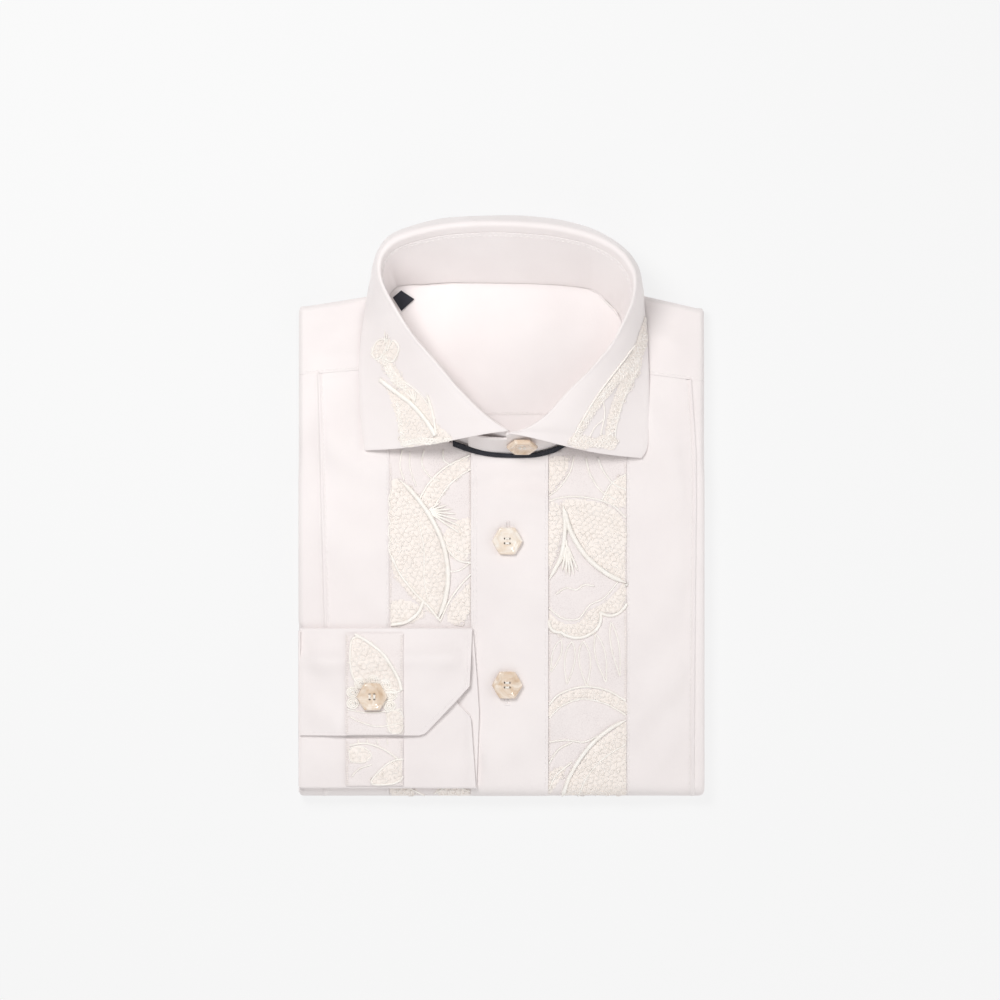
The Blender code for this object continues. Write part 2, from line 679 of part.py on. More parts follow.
def cuff_section():
    """The cuff's section as a spiral: y, height over the front, and which hem it reaches."""
    back, under, over = CUFF_LAYERS
    path = []
    for y in (UNDERLAP_END_Y, -109.4, -117.2, -136.0):
        path.append((y, under, UNDERLAP_HEM))
    for step in range(5):
        angle = math.pi * step / 4
        y = CUFF_BOTTOM_Y + CUFF_FOLD - CUFF_FOLD * math.sin(angle)
        path.append((y, (back + under) / 2 + CUFF_FOLD * math.cos(angle), BACK_HEM if step > 2 else UNDERLAP_HEM))
    for y in (-114.5, -100.0):
        path.append((y, back, BACK_HEM))
    for step in range(5):
        angle = math.pi * step / 4
        y = CUFF_TOP_Y - CUFF_FOLD + CUFF_FOLD * math.sin(angle)
        path.append((y, (back + under) / 2 - CUFF_FOLD * math.cos(angle), BACK_HEM if step < 2 else OVERLAP_HEM))
    for y in (OVERLAP_RISE_Y[0], sum(OVERLAP_RISE_Y) / 2, OVERLAP_RISE_Y[1], -100.0, -113.0, -126.2, OVERLAP_EDGE_Y):
        lift = smoothstep(-OVERLAP_RISE_Y[0], -OVERLAP_RISE_Y[1], -y)
        path.append((y, under + (over - under) * lift, OVERLAP_HEM))
    return path


def front_height(x, y):
    """Height of the front under the cuff, whose hem climbs onto the placket."""
    return top_z(x, max(y, FOLD_Y)) + (PLACKET_RAISE + 0.1) * smoothstep(-21.0, -17.4, x)


def make_cuff():
    lines = []
    for y, height, hem in cuff_section():
        end = table_at(hem, y)
        xs = spread(CUFF_LEFT_X, end - 9, 4) + [end - 6.5, end - 4.0, end - 1.5, end]
        lines.append([(x, y, front_height(x, y) + height) for x in xs])
    obj = new_object("cuff", grid_mesh(lines, (0, 0, 1)), WHITE)
    add_wall(obj, CUFF_WALL, 0)
    return obj


def cuff_patch(name, ys, layer):
    """Lace over the cuff, made from the cuff's own points moved out."""
    lines = []
    for y in ys:
        lift = CUFF_LAYERS[1]
        if layer == 2:
            rise = smoothstep(-OVERLAP_RISE_Y[0], -OVERLAP_RISE_Y[1], -y)
            lift += (CUFF_LAYERS[2] - CUFF_LAYERS[1]) * rise
        height = lift + CUFF_WALL / 2 + SEAM_GAP + LACE_WALL / 2
        lines.append([(x, y, front_height(x, y) + height) for x in spread(*CUFF_LACE_X, 4)])
    obj = new_object(name, grid_mesh(lines, (0, 0, 1)), CREAM)
    add_wall(obj, LACE_WALL, 0)
    return obj


def make_sleeve():
    """The sleeve end: it leaves the cuff, turns down the side edge and goes into the slit."""
    lines = []
    for y in (-69.4, -90.0, -110.0, -126.2, -128.6, -142.0, -155.6):
        over = smoothstep(-128.4, -126.4, y)
        top = PACK_HEIGHT + CUFF_LAYERS[1] + 0.4 + (CUFF_LAYERS[2] - CUFF_LAYERS[1]) * over
        x = -HALF_WIDTH + SLEEVE_WALL / 2 + 0.1
        low_y = max(y, SLEEVE_TUCK_Y)
        lines.append([(x + 0.35, y, top), (x, y, top - 1.6), (x, y, 10.5), (x + 0.5, low_y, 8.6),
                      (x + 1.7, low_y, 7.4), (x + 3.2, low_y, 7.0), (SLEEVE_SLIT_X, low_y, 7.0)])
    obj = new_object("sleeve", grid_mesh(lines, (-1, 0, 0)), WHITE)
    add_wall(obj, SLEEVE_WALL, 0)
    return obj


def make_tape():
    lines = []
    rise = vec(*TAPE_RISE)
    for x, y in TAPE_LINE:
        bottom = vec(x, y, TAPE_Z)
        lines.append([bottom, bottom + rise])
    obj = new_object("neck_tape", grid_mesh(lines, (0, -1, 0)), NAVY, roughness=0.7)
    add_wall(obj, TAPE_WALL, 0)
    return obj


def make_size_tab():
    x, y = SIZE_TAB_CENTRE
    tab = bmesh.new()
    corners = []
    for dx, dy in SIZE_TAB_CORNERS:
        z = top_z(x + dx, y + dy) - WALL - SEAM_GAP + 0.4
        corners.append(tab.verts.new([(x + dx) * MM, (y + dy) * MM, z * MM]))
    tab.faces.new(corners[::-1])
    tab.normal_update()
    if sum(face.normal.z for face in tab.faces) < 0:
        bmesh.ops.reverse_faces(tab, faces=tab.faces)
    obj = new_object("size_tab", tab, NAVY, roughness=0.7)
    add_wall(obj, LACE_WALL, 1)
    return obj


def make_thread_cutter():
    """Four thread holes, in the middle of a button."""
    holes = bmesh.new()
    for x in (-1.5, 1.5):
        for y in (-1.5, 1.5):
            made = bmesh.ops.create_cone(holes, cap_ends=True, segments=8, radius1=0.85 * MM, radius2=0.85 * MM,
                                         depth=3 * BUTTON_THICK * MM)
            bmesh.ops.translate(holes, verts=made["verts"], vec=(x * MM, y * MM, 0))
    cutter = new_object("thread_holes", holes, PEARL, collection="cutters")
    cutter.hide_render = True
    cutter.display_type = "WIRE"
    return cutter


def make_button(name, place, normal):
    """A six-sided button, its corners to the left and right and its underside at place."""
    corner = BUTTON_FLATS / math.sqrt(3)
    body = bmesh.new()
    bmesh.ops.create_cone(body, cap_ends=True, segments=6, radius1=corner * MM, radius2=corner * MM,
                          depth=BUTTON_THICK * MM)
    corners = sorted(body.verts, key=lambda vert: -abs(vert.co.x))
    if abs(corners[0].co.y) > 0.5 * MM:
        bmesh.ops.rotate(body, verts=body.verts, cent=(0, 0, 0), matrix=Matrix.Rotation(math.radians(30), 3, "Z"))
    top = max(body.faces, key=lambda face: face.calc_center_median().z)
    bmesh.ops.inset_region(body, faces=[top], thickness=2.2 * MM)
    bmesh.ops.inset_region(body, faces=[top], thickness=0.9 * MM, depth=-0.9 * MM)
    rim = [edge for edge in body.edges if len(edge.link_faces) == 2 and edge.calc_face_angle() > 1.0]
    bmesh.ops.bevel(body, geom=rim, offset=0.5 * MM, segments=2, profile=0.5, affect="EDGES")
    obj = new_object(name, body, PEARL, roughness=0.3)
    direction = unit(vec(*normal))
    across = vec(1, 0, 0)
    upward = np.cross(direction, across)
    centre = vec(*place) + direction * BUTTON_THICK / 2
    matrix = np.eye(4)
    for column, axis in enumerate((across, upward, direction)):
        matrix[:3, column] = axis
    matrix[:3, 3] = centre * MM
    obj.matrix_world = [list(row) for row in matrix.T]
    return obj


def main():
    for obj in list(bpy.data.objects):
        bpy.data.objects.remove(obj, do_unlink=True)
    for name in ("shirt", "cutters"):
        collection = bpy.data.collections.new(name)
        bpy.context.scene.collection.children.link(collection)
    neck = make_neck_cutter()
    half_gap = SEAM_GAP / 2
    left = front_panel("front_left", -1, LACE_LEFT_X[0] - half_gap, LEFT_TUCK)
    right = front_panel("front_right", 1, LACE_RIGHT_X[1] + half_gap, RIGHT_TUCK)
    lace_left = plain_strip("lace_left", spread(LACE_LEFT_X[0] + half_gap, LACE_LEFT_X[1] - half_gap, 4),
                            LACE_WALL, CREAM)
    lace_right = plain_strip("lace_right", spread(LACE_RIGHT_X[0] + half_gap, LACE_RIGHT_X[1] - half_gap, 4),
                             LACE_WALL, CREAM)
    placket = plain_strip("placket", spread(LACE_LEFT_X[1] + half_gap, LACE_RIGHT_X[0] - half_gap, 4), WALL,
                          WHITE, PLACKET_RAISE)
    yoke = make_yoke()
    for obj in (left, right, lace_left, lace_right, placket, yoke):
        fix_facing(obj)
    for obj in (right, lace_left, lace_right, placket, yoke):
        cut_with(obj, neck)
    inner_sheet("yoke_inside", YOKE_BACK_SEAM_Y + SEAM_GAP / 2, 200.0, 4)
    inner_sheet("back_upper", 20.5, YOKE_BACK_SEAM_Y - SEAM_GAP / 2, 2)
    make_back_lower()
    make_folded_layers()
    make_collar()
    lines = collar_lines()
    leaf_patch("collar_lace_left", lines, 0, 5, ((0.36, 0.74), (0.34, 0.74), (0.32, 0.74), (0.3, 0.75),
                                                  (0.3, 0.76), (0.34, 0.78)))
    last = len(lines) - 1
    leaf_patch("collar_lace_right", lines, last - 6, last, ((0.5, 0.9), (0.48, 0.86), (0.44, 0.8), (0.42, 0.77),
                                                            (0.42, 0.77), (0.42, 0.77), (0.43, 0.77)))
    make_tape()
    make_size_tab()
    make_cuff()
    cuff_patch("cuff_lace_over", (-70.5, -78.0, -83.0, -88.0, -107.0, -126.9), 2)
    cuff_patch("cuff_lace_under", (-128.9, -142.0, -155.2), 1)
    make_sleeve()
    holes = make_thread_cutter()
    buttons = []
    for name, y in zip(("button_upper", "button_lower"), BUTTON_YS):
        z = max(top_z(BUTTON_X + dx, y + dy) for dx in (-8, 8) for dy in (-7, 7)) + PLACKET_RAISE + SEAM_GAP
        buttons.append(make_button(name, (BUTTON_X, y, z), (0, 0, 1)))
    x, y = CUFF_BUTTON
    z = top_z(x, y) + CUFF_LAYERS[2] + CUFF_WALL / 2 + SEAM_GAP + LACE_WALL + 0.4
    buttons.append(make_button("button_cuff", (x, y, z), (0, 0, 1)))
    lean = unit(vec(0, STAND_LEAN[1], STAND_LEAN[2]))
    out = vec(0, -lean[2], lean[1])
    x, z = COLLAR_BUTTON
    base_y = 28.8
    on_stand = vec(x, base_y, base_z(x, base_y))
    on_stand = on_stand + lean * (z - on_stand[2]) / lean[2]
    buttons.append(make_button("button_collar", on_stand + out * (COLLAR_WALL / 2 + 0.4), out))
    for button in buttons:
        holes_here = bpy.data.objects.new(f"{button.name}_holes", holes.data)
        holes_here.matrix_world = button.matrix_world
        holes_here.hide_render = True
        holes_here.display_type = "WIRE"
        bpy.data.collections["cutters"].objects.link(holes_here)
        cut_with(button, holes_here)


main()
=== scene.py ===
import math
import random

import bmesh
import bpy
import numpy as np
from mathutils import Matrix, Vector
from mathutils.bvhtree import BVHTree


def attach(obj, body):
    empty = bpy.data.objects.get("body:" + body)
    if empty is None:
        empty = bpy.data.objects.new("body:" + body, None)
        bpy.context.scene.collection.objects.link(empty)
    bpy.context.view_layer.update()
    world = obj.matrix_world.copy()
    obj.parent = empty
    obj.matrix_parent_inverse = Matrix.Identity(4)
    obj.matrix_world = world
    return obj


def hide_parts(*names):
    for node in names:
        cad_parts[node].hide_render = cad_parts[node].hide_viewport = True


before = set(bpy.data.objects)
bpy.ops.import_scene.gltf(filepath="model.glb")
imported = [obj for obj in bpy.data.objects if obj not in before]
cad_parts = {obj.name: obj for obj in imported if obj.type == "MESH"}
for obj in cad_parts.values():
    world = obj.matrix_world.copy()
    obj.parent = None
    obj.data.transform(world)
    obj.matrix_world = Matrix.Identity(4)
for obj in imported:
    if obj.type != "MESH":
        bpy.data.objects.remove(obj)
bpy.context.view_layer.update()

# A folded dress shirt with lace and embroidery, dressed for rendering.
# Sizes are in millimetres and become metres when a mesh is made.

MM = 0.001
RAY_START_Z = 0.12  # in metres, above every piece
DICE = random.Random(7)
PIXELS_PER_MM = 1.8
PICTURE_ORIGIN = (501.5, 506)  # the picture's pixel over the part's origin

# The folded pack, as in the model
HALF_WIDTH = 113.0
EDGE_ROLL = 3.0
ROLL_X = HALF_WIDTH - EDGE_ROLL
PACK_HEIGHT = 14.0
SLAB = 6.0
FOLD_RADIUS = PACK_HEIGHT / 2
FOLD_Y = -161.5 + FOLD_RADIUS
TAIL_HEM_Y = 11.0
TOP_ROW_SPACING = 2.4
FOLD_ROWS = 15
UNDER_ROWS = 22
THICK_FROM_Y = 13.0
THICK_TO_Y = 28.0
SHOULDER_ROLL = 4.0
SHOULDER_FALL = 3.4
SHOULDER_FALL_RUN = 40.0

# Cloth
WALL = 1.2
SHELL = 0.8  # thickness of the cloth that shows
SEAM_GAP = 0.3
SEAM_CLOSE = 0.06  # seams are drawn tight, with only a fine groove
COLLAR_WALL = 1.4
CUFF_WALL = 1.4
LACE_SHELL = 0.5
PLACKET_RAISE = 1.0
PLACKET_LAP = 0.5
PLACKET_SHELL = 0.85
PLY_SHELL = 0.7
TUCK_RAISE = 1.3
TUCK_HALF = 1.7  # half its width
# A pin tuck from its outer side to its inner one: distance from its line, share of its height
TUCK_PROFILE = ((TUCK_HALF, 0.0), (1.2, 0.02), (0.8, 0.12), (0.45, 0.65), (0.2, 0.97), (-0.1, 1.0),
                (-0.4, 0.9), (-0.75, 0.68), (-1.1, 0.42), (-1.4, 0.18), (-TUCK_HALF, 0.0))

LACE_LEFT_X = (-62.5, -16.5)
LACE_RIGHT_X = (25.5, 69.7)
YOKE_BACK_SEAM_Y = 50.6
YOKE_SEAM_TOP_Y = 76  # the highest place of the yoke's front seam
TUCK_TOP_Y = 72
BACK_UPPER_LOW_Y = 20.5
SHOULDER_EDGE = ((-113, 111.0), (-90, 114.5), (-75, 117.0), (-68, 122.0), (-60, 128.0), (-50, 130.6),
                 (-36, 131.4), (0, 131.6), (34, 131.2), (48, 129.5), (58, 125.5), (68, 120.5), (80, 117.2),
                 (113, 109.7))
YOKE_SEAM = ((-113, 72.8), (-78, 75.6), (0, 76.0), (69, 75.0), (81, 73.3), (113, 69.2))
LEFT_TUCK = ((-161.5, -98.4), (-67, -97.9), (72, -101.6))
RIGHT_TUCK = ((-161.5, 106.4), (-89, 106.9), (5, 107.8), (31, 107.6), (71, 105.0))

# The collar, from its left front round the back to its right front:
# ridge x, y, z, base x, y, edge x, y, z
COLLAR_STATIONS = (
    (2.4, 41.2, 38.0, 3.0, 30.8, -75.8, 30.9, 15.1),
    (-4.7, 46.2, 38.2, -13.1, 31.8, -77.0, 41.5, 15.1),
    (-12.4, 52.5, 38.5, -27.5, 36.6, -78.1, 52.5, 15.1),
    (-23.9, 64.3, 39.0, -41.4, 50.6, -78.8, 65.6, 15.1),
    (-36.5, 79.1, 40.0, -52.5, 65.6, -78.8, 80.0, 15.0),
    (-49.1, 93.9, 41.0, -62.0, 84.0, -77.5, 95.0, 14.6),
    (-58.4, 108.1, 42.0, -65.6, 99.5, -75.3, 109.0, 13.4),
    (-65.8, 121.9, 43.0, -64.9, 112.2, -73.6, 120.8, 9.0),
    (-67.6, 132.5, 44.0, -63.1, 117.0, -71.3, 131.0, 4.0),
    (-64.4, 141.4, 44.0, -59.7, 121.0, -67.0, 141.0, 2.2),
    (-55.7, 148.0, 43.5, -53.0, 123.2, -58.9, 149.6, 1.6),
    (-37.0, 153.3, 43.0, -36.4, 124.0, -39.9, 157.6, 1.4),
    (-19.5, 155.5, 42.2, -19.2, 124.3, -20.4, 160.0, 1.4),
    (-1.9, 156.1, 42.0, -1.9, 124.2, -1.9, 160.7, 1.4),
    (15.6, 155.2, 42.2, 15.3, 123.8, 16.5, 160.0, 1.4),
    (33.1, 153.0, 43.0, 32.5, 123.0, 34.4, 157.6, 1.4),
    (51.2, 148.0, 43.5, 49.2, 120.6, 53.4, 151.0, 1.6),
    (64.9, 140.3, 44.0, 58.6, 114.8, 67.9, 141.2, 2.2),
    (72.1, 130.4, 44.0, 64.4, 108.1, 75.7, 131.0, 4.0),
    (73.6, 121.7, 43.0, 68.0, 101.5, 78.4, 120.6, 8.5),
    (71.9, 112.5, 42.0, 69.9, 94.0, 79.0, 110.5, 12.6),
    (67.2, 101.0, 41.0, 70.4, 85.0, 79.9, 98.5, 14.4),
    (60.4, 88.4, 40.0, 69.6, 75.6, 80.8, 86.5, 15.0),
    (50.0, 75.8, 39.5, 64.5, 64.4, 81.4, 74.4, 15.1),
    (38.5, 64.3, 39.0, 55.2, 52.2, 81.6, 61.7, 15.1),
    (26.9, 51.4, 38.5, 43.6, 40.2, 81.5, 49.0, 15.1),
    (17.6, 44.3, 38.2, 32.0, 32.8, 81.3, 38.5, 15.1),
    (10.9, 41.2, 38.0, 20.3, 29.6, 80.4, 31.4, 15.1),
    (3.7, 39.9, 38.0, 7.5, 28.6, 77.6, 26.8, 15.1),
)
RIDGE_RADIUS = 1.6
LEAF_LIP = 5.6
LEAF_BULGE = 2.6
ROLL_BULGE = 4.6  # the soft roll of the leaf beside its ridge, in front
FRONT_EDGE_BOW = 2.6
STAND_LEAN = (-1.2, 11.6, 24.8)
UNDER_END = ((19.0, 31.6, 0.62), (14.0, 31.2, 0.74), (8.0, 30.9, 0.78))
OVER_END = ((0.0, 28.6, 0.97), (-9.0, 29.2, 0.99), (-18.0, 31.6, 0.97))
STAND_FOOT = 0.6
STAND_ROWS = 14
# Upright pulls in the stand: collar station, width in stations, depth
STAND_PULLS = ((9.3, 0.22, 1.1), (10.5, 0.3, -0.9), (11.5, 0.26, 0.9), (12.6, 0.5, -0.3), (14.2, 0.5, 0.4),
               (16.2, 0.3, 1.1), (17.1, 0.26, -0.8), (18.3, 0.3, 0.9), (4.2, 0.4, 0.5), (6.6, 0.3, 0.5),
               (21.0, 0.3, 0.5), (23.0, 0.4, 0.5))
LIP_GAP = 0.25
INNER_SEAM_ROWS = slice(24, -20)  # lines of the stand that show inside the neck
NECK_CENTRE = (2.0, 85.0)
NECK_FRONT = ((1.0, 28.6), (-8.5, 29.3), (-15.0, 31.2))  # the neck's outline where the stand closes
NECK_CUT_Z = (4.5, 40.5)

TAPE_LINE = ((-27, 34.0), (-20, 31.4), (-13, 29.3), (-4, 27.6), (8, 27.0), (19, 27.6), (28, 29.9), (36, 33.2))
TAPE_Z = 15.9
TAPE_RISE = (0.0, 3.0, 2.1)
SIZE_TAB_CENTRE = (-54.9, 114.6)
SIZE_TAB_CORNERS = ((-0.9, 5.4), (6.3, 0.6), (-0.9, -6.0), (-5.6, 1.4))

CUFF_LEFT_X = -111.7
CUFF_TOP_Y = -68.3
CUFF_BOTTOM_Y = -156.2
CUFF_LAYERS = (1.0, 2.8, 4.6)
CUFF_FOLD = 0.9
OVERLAP_EDGE_Y = -127.2
UNDERLAP_END_Y = -92.0
OVERLAP_RISE_Y = (-78.0, -88.0)
BACK_HEM = ((-156.2, -13.8), (-114.5, -12.4), (-100, -13.3), (-68.3, -15.8))
UNDERLAP_HEM = ((-156.2, -14.2), (-117.2, -16.9), (-109.4, -24.7), (-92, -24.9))
OVERLAP_HEM = ((-127.2, -46.0), (-126.2, -42.4), (-100.0, -17.6), (-68.3, -16.2))
CUFF_LACE_X = (-86.5, -54.5)
LACE_OVER_Y = (-70.5, -126.9)
LACE_UNDER_Y = (-128.9, -155.2)
CUFF_TURN_Y = -146.0  # where the lower two layers of the cuff turn into its bottom fold
CUFF_SQUEEZE = 1.8
# Rows round the cuff: those of the underlap, and the first of the overlap that takes creases
UNDERLAP_ROWS = 30
OVERLAP_FIRST_ROW = 69
SLEEVE_SLIT_X = -106.5
SLEEVE_TUCK_Y = -152.8

BUTTON_FLATS = 15.0
BUTTON_THICK = 3.0
BUTTON_STEPS = 48  # points round its outline
DISH_DEPTH = 0.95
HOLE_PLACE = 1.3
HOLE_RADIUS = 0.62
BUTTON_X = 3.2
BUTTON_YS = (-19.4, -99.4)
CUFF_BUTTON = (-71.7, -105.6)
CUFF_BUTTON_LIFT = 1.4  # over the lace on the cuff
COLLAR_BUTTON = (11.4, 26.0)
STAND_FRONT_Y = 28.8  # the stand's foot under the collar button
BUTTONHOLE_ENDS = (6.0, 10.6)  # from the button to the near and the far end

# Seam stitches down the fronts start under the collar or at the yoke and end at the fold
OPEN_FRONT_Y = 24
YOKE_STITCH_Y = 72
STITCH_END_Y = -160

# Soft creases: x and y of both ends, half width, height
FRONT_CREASES = (
    (-112, 44, -70, 20, 10, 2.07),
    (-112, -8, -66, -26, 12, 1.87),
    (-66, 66, -70, 10, 6, -0.3),
    (-94, 66, -90, 30, 8, 1.04),
    (-86, -34, -64, -60, 8, 1.24),
    (-16, 14, 24, 2, 9, 1.45),
    (-16, -30, 24, -50, 11, 1.66),
    (26, -118, -12, -150, 10, 1.87),
    (-14, -128, 0, -156, 6, 1.04),
    (74, 62, 104, 2, 11, 2.28),
    (75, 24, 77, -64, 6, -0.3),
    (106, -30, 74, -78, 12, 2.49),
    (108, -84, 72, -122, 10, 2.9),
    (104, -122, 76, -154, 8, 1.87),
    (108, -60, 78, -104, 5, -0.3),
    (28, -60, 68, -88, 13, 1.45),
    (30, 24, 66, -6, 11, 1.24),
    (30, -120, 66, -148, 9, 1.24),
    (-14, 12, 24, 13, 7, -2.2),
    (-40, -20, -24, -58, 7, 0.7),
)
YOKE_CREASES = (
    (-112, 84, -74, 83.5, 1.8, -0.35),
    (-110, 100, -80, 92, 9, 1.6),
    (-96, 112, -80, 104, 6, 0.96),
    (84, 96, 112, 88, 8, 1.44),
    (82, 107, 108, 103, 5, 0.96),
    (84, 84, 108, 80, 5, -0.3),
)
CUFF_CREASES = (
    (-110, -86, -18, -83, 6, 2.25),
    (-108, -114, -90, -120, 8, 1.58),
    (-52, -104, -26, -84, 9, 2.03),
    (-50, -120, -30, -106, 8, 1.35),
    (-108, -142, -24, -148, 8, 1.12),
    (-104, -76, -90, -100, 7, 0.9),
)


def smoothstep(low, high, value):
    t = np.clip((np.asarray(value, float) - low) / (high - low), 0.0, 1.0)
    return t * t * (3 - 2 * t)


def table_at(rows, value):
    return np.interp(value, [row[0] for row in rows], [row[1] for row in rows])


def vec(*values):
    return np.array(values, float)


def unit(vector):
    return vector / max(1e-12, float(np.linalg.norm(vector)))


def crease_height(x, y, creases):
    """Sum of the soft ridges and troughs at a place."""
    total = np.zeros(np.broadcast(x, y).shape)
    for x0, y0, x1, y1, width, height in creases:
        run = vec(x1 - x0, y1 - y0)
        length = float(np.hypot(*run))
        along = ((x - x0) * run[0] + (y - y0) * run[1]) / length
        aside = ((x - x0) * run[1] - (y - y0) * run[0]) / length
        beyond = np.maximum(0.0, np.maximum(-along, along - length))
        bend = 0.18 * width * np.sin(along / length * 5.1 + x0)
        total = total + height * np.exp(-((aside + bend) / width) ** 2 - (beyond / (width * 1.4)) ** 2)
    return total


def shoulder_y(x):
    return table_at(SHOULDER_EDGE, x)


def base_top_z(x, y):
    """Height of the outer cloth as in the model."""
    edge = shoulder_y(x)
    t = np.clip((y - edge + SHOULDER_FALL_RUN) / SHOULDER_FALL_RUN, 0.0, 1.0)
    fall = SHOULDER_FALL * t * t * (3 - 2 * t)
    calm = 1 - smoothstep(80, 100, np.abs(x))
    wave = 0.22 * np.sin(x / 23 + y / 41) + 0.14 * np.sin(y / 17 - x / 37)
    return PACK_HEIGHT - fall + wave * calm


def under_cuff(x, y):
    """One where the cuff lies on the front, and nothing may rise into it."""
    return (1 - smoothstep(-15, -8, x)) * (1 - smoothstep(-66, -58, y))


def top_z(x, y):
    """Height of the outer cloth with its soft creases."""
    free = (1 - under_cuff(x, y)) * (1 - smoothstep(96, 108, np.abs(x)))
    below_collar = smoothstep(20, 34, y) * (1 - smoothstep(74, 84, np.abs(x)))
    free = free * (1 - below_collar)
    on_front = 1 - smoothstep(66, 74, y)
    soft = crease_height(x, y, FRONT_CREASES) * on_front + crease_height(x, y, YOKE_CREASES) * (1 - on_front)
    return base_top_z(x, y) + soft * free


def slab_depth(y):
    return SLAB + (PACK_HEIGHT - SLAB) * smoothstep(THICK_FROM_Y, THICK_TO_Y, y)


def squeeze(y, z):
    """How far the upper half of the side is drawn in beside the cuff."""
    drawn = CUFF_SQUEEZE * smoothstep(-160.0, -156.6, y) * (1 - smoothstep(-68.0, -65.0, y))
    return np.where(z < PACK_HEIGHT / 2, 0.0, drawn)


# Materials

def add_node(tree, kind, values=None, links=None, **settings):
    """A shader node: first its settings, then the values and the links of its inputs."""
    made = tree.nodes.new("ShaderNode" + kind)
    for setting, value in settings.items():
        setattr(made, setting, value)
    for socket, value in (values or {}).items():
        made.inputs[socket].default_value = value
    for socket, source in (links or {}).items():
        tree.links.new(source, made.inputs[socket])
    return made


def new_material(name, values):
    """A material with the values set on its shader's own sockets."""
    material = bpy.data.materials.new(name)
    material.use_nodes = True
    tree = material.node_tree
    shader = tree.nodes["Principled BSDF"]
    for socket, value in values.items():
        shader.inputs[socket].default_value = value
    return material, tree, shader


def cloth_values(colour, roughness, sheen, specular):
    return {"Base Color": (*colour, 1.0), "Roughness": roughness, "Sheen Weight": sheen,
            "Sheen Roughness": 0.5, "Specular IOR Level": specular}


def noise(tree, coords, scale, detail, distortion=0.0):
    values = {"Scale": scale, "Detail": detail, "Distortion": distortion}
    return add_node(tree, "TexNoise", values, {"Vector": coords}).outputs["Fac"]


def ramp(tree, factor, stops):
    """A colour between two stops, each a position and a colour."""
    made = add_node(tree, "ValToRGB", links={"Fac": factor})
    for element, (position, colour) in zip(made.color_ramp.elements, stops):
        element.position = position
        element.color = (*colour, 1.0)
    return made.outputs["Color"]


def tinted(tree, coords, dark, light, scale):
    """A colour that drifts between two tones in soft patches."""
    return ramp(tree, noise(tree, coords.outputs["Object"], scale, 3.0), ((0.3, dark), (0.7, light)))


def wave_bands(tree, coords, scale, turn, distortion):
    rotation = {"Rotation": (0.0, 0.0, math.radians(turn))}
    mapping = add_node(tree, "Mapping", rotation, {"Vector": coords.outputs["UV"]})
    values = {"Scale": scale, "Distortion": distortion, "Detail": 1.0}
    return add_node(tree, "TexWave", values, {"Vector": mapping.outputs["Vector"]}).outputs["Fac"]


def bump(tree, shader, height, strength, distance=0.0002):
    made = add_node(tree, "Bump", {"Strength": strength, "Distance": distance}, {"Height": height})
    tree.links.new(made.outputs["Normal"], shader.inputs["Normal"])


def cotton_material(name, dark, light):
    """Fine twill: slanting ribs along the cloth, slight slubs and a soft nap."""
    material, tree, shader = new_material(name, cloth_values(light, 0.62, 0.25, 0.35))
    coords = add_node(tree, "TexCoord")
    colour = tinted(tree, coords, dark, light, 26.0)
    twill = wave_bands(tree, coords, 620.0, 62.0, 0.6)
    slubs = noise(tree, coords.outputs["UV"], 900.0, 2.0)
    shade = add_node(tree, "Mix", {"Factor": 0.06}, {"A": colour, "B": twill}, data_type="RGBA",
                     blend_type="MULTIPLY")
    tree.links.new(shade.outputs["Result"], shader.inputs["Base Color"])
    height = add_node(tree, "Math", links={0: twill, 1: slubs}, operation="ADD")
    bump(tree, shader, height.outputs[0], 0.22)
    return material


def net_material(name, dark, light, hole_size):
    """Lace ground: a fine net of threads with small holes over the paler cloth."""
    material, tree, shader = new_material(name, cloth_values(light, 0.78, 0.3, 0.25))
    coords = add_node(tree, "TexCoord")
    colour = tinted(tree, coords, dark, light, 60.0)
    cells = add_node(tree, "TexVoronoi", {"Scale": 1000.0 / hole_size}, {"Vector": coords.outputs["UV"]},
                     feature="DISTANCE_TO_EDGE")
    values = {"From Min": 0.04, "From Max": 0.3, "To Min": 1.0, "To Max": 0.0}
    threads = add_node(tree, "MapRange", values, {"Value": cells.outputs["Distance"]}).outputs["Result"]
    shade = add_node(tree, "Mix", {"B": (*light, 1.0)}, {"Factor": threads, "A": colour}, data_type="RGBA",
                     blend_type="MIX")
    tree.links.new(shade.outputs["Result"], shader.inputs["Base Color"])
    bump(tree, shader, threads, 0.3)
    return material


def thread_material(name, dark, light, roughness):
    """Twisted embroidery thread with a silky gloss."""
    material, tree, shader = new_material(name, cloth_values(light, roughness, 0.35, 0.5))
    coords = add_node(tree, "TexCoord")
    tree.links.new(tinted(tree, coords, dark, light, 220.0), shader.inputs["Base Color"])
    bump(tree, shader, noise(tree, coords.outputs["Object"], 2600.0, 2.0), 0.35)
    return material


def pearl_material(name, dark, light):
    """Shell button: cloudy layers under a clear gloss."""
    values = cloth_values(light, 0.22, 0.0, 0.6)
    material, tree, shader = new_material(name, {**values, "Coat Weight": 0.8, "Coat Roughness": 0.06})
    coords = add_node(tree, "TexCoord")
    clouds = noise(tree, coords.outputs["Object"], 90.0, 4.0, 2.2)
    tree.links.new(ramp(tree, clouds, ((0.32, dark), (0.66, light))), shader.inputs["Base Color"])
    bump(tree, shader, clouds, 0.05, 0.0003)
    return material


def tape_material(name, dark, light):
    """Ribbed black tape."""
    material, tree, shader = new_material(name, cloth_values(dark, 0.75, 0.1, 0.5))
    coords = add_node(tree, "TexCoord")
    tree.links.new(tinted(tree, coords, dark, light, 300.0), shader.inputs["Base Color"])
    bump(tree, shader, wave_bands(tree, coords, 400.0, 0.0, 0.3), 0.5, 0.0003)
    return material


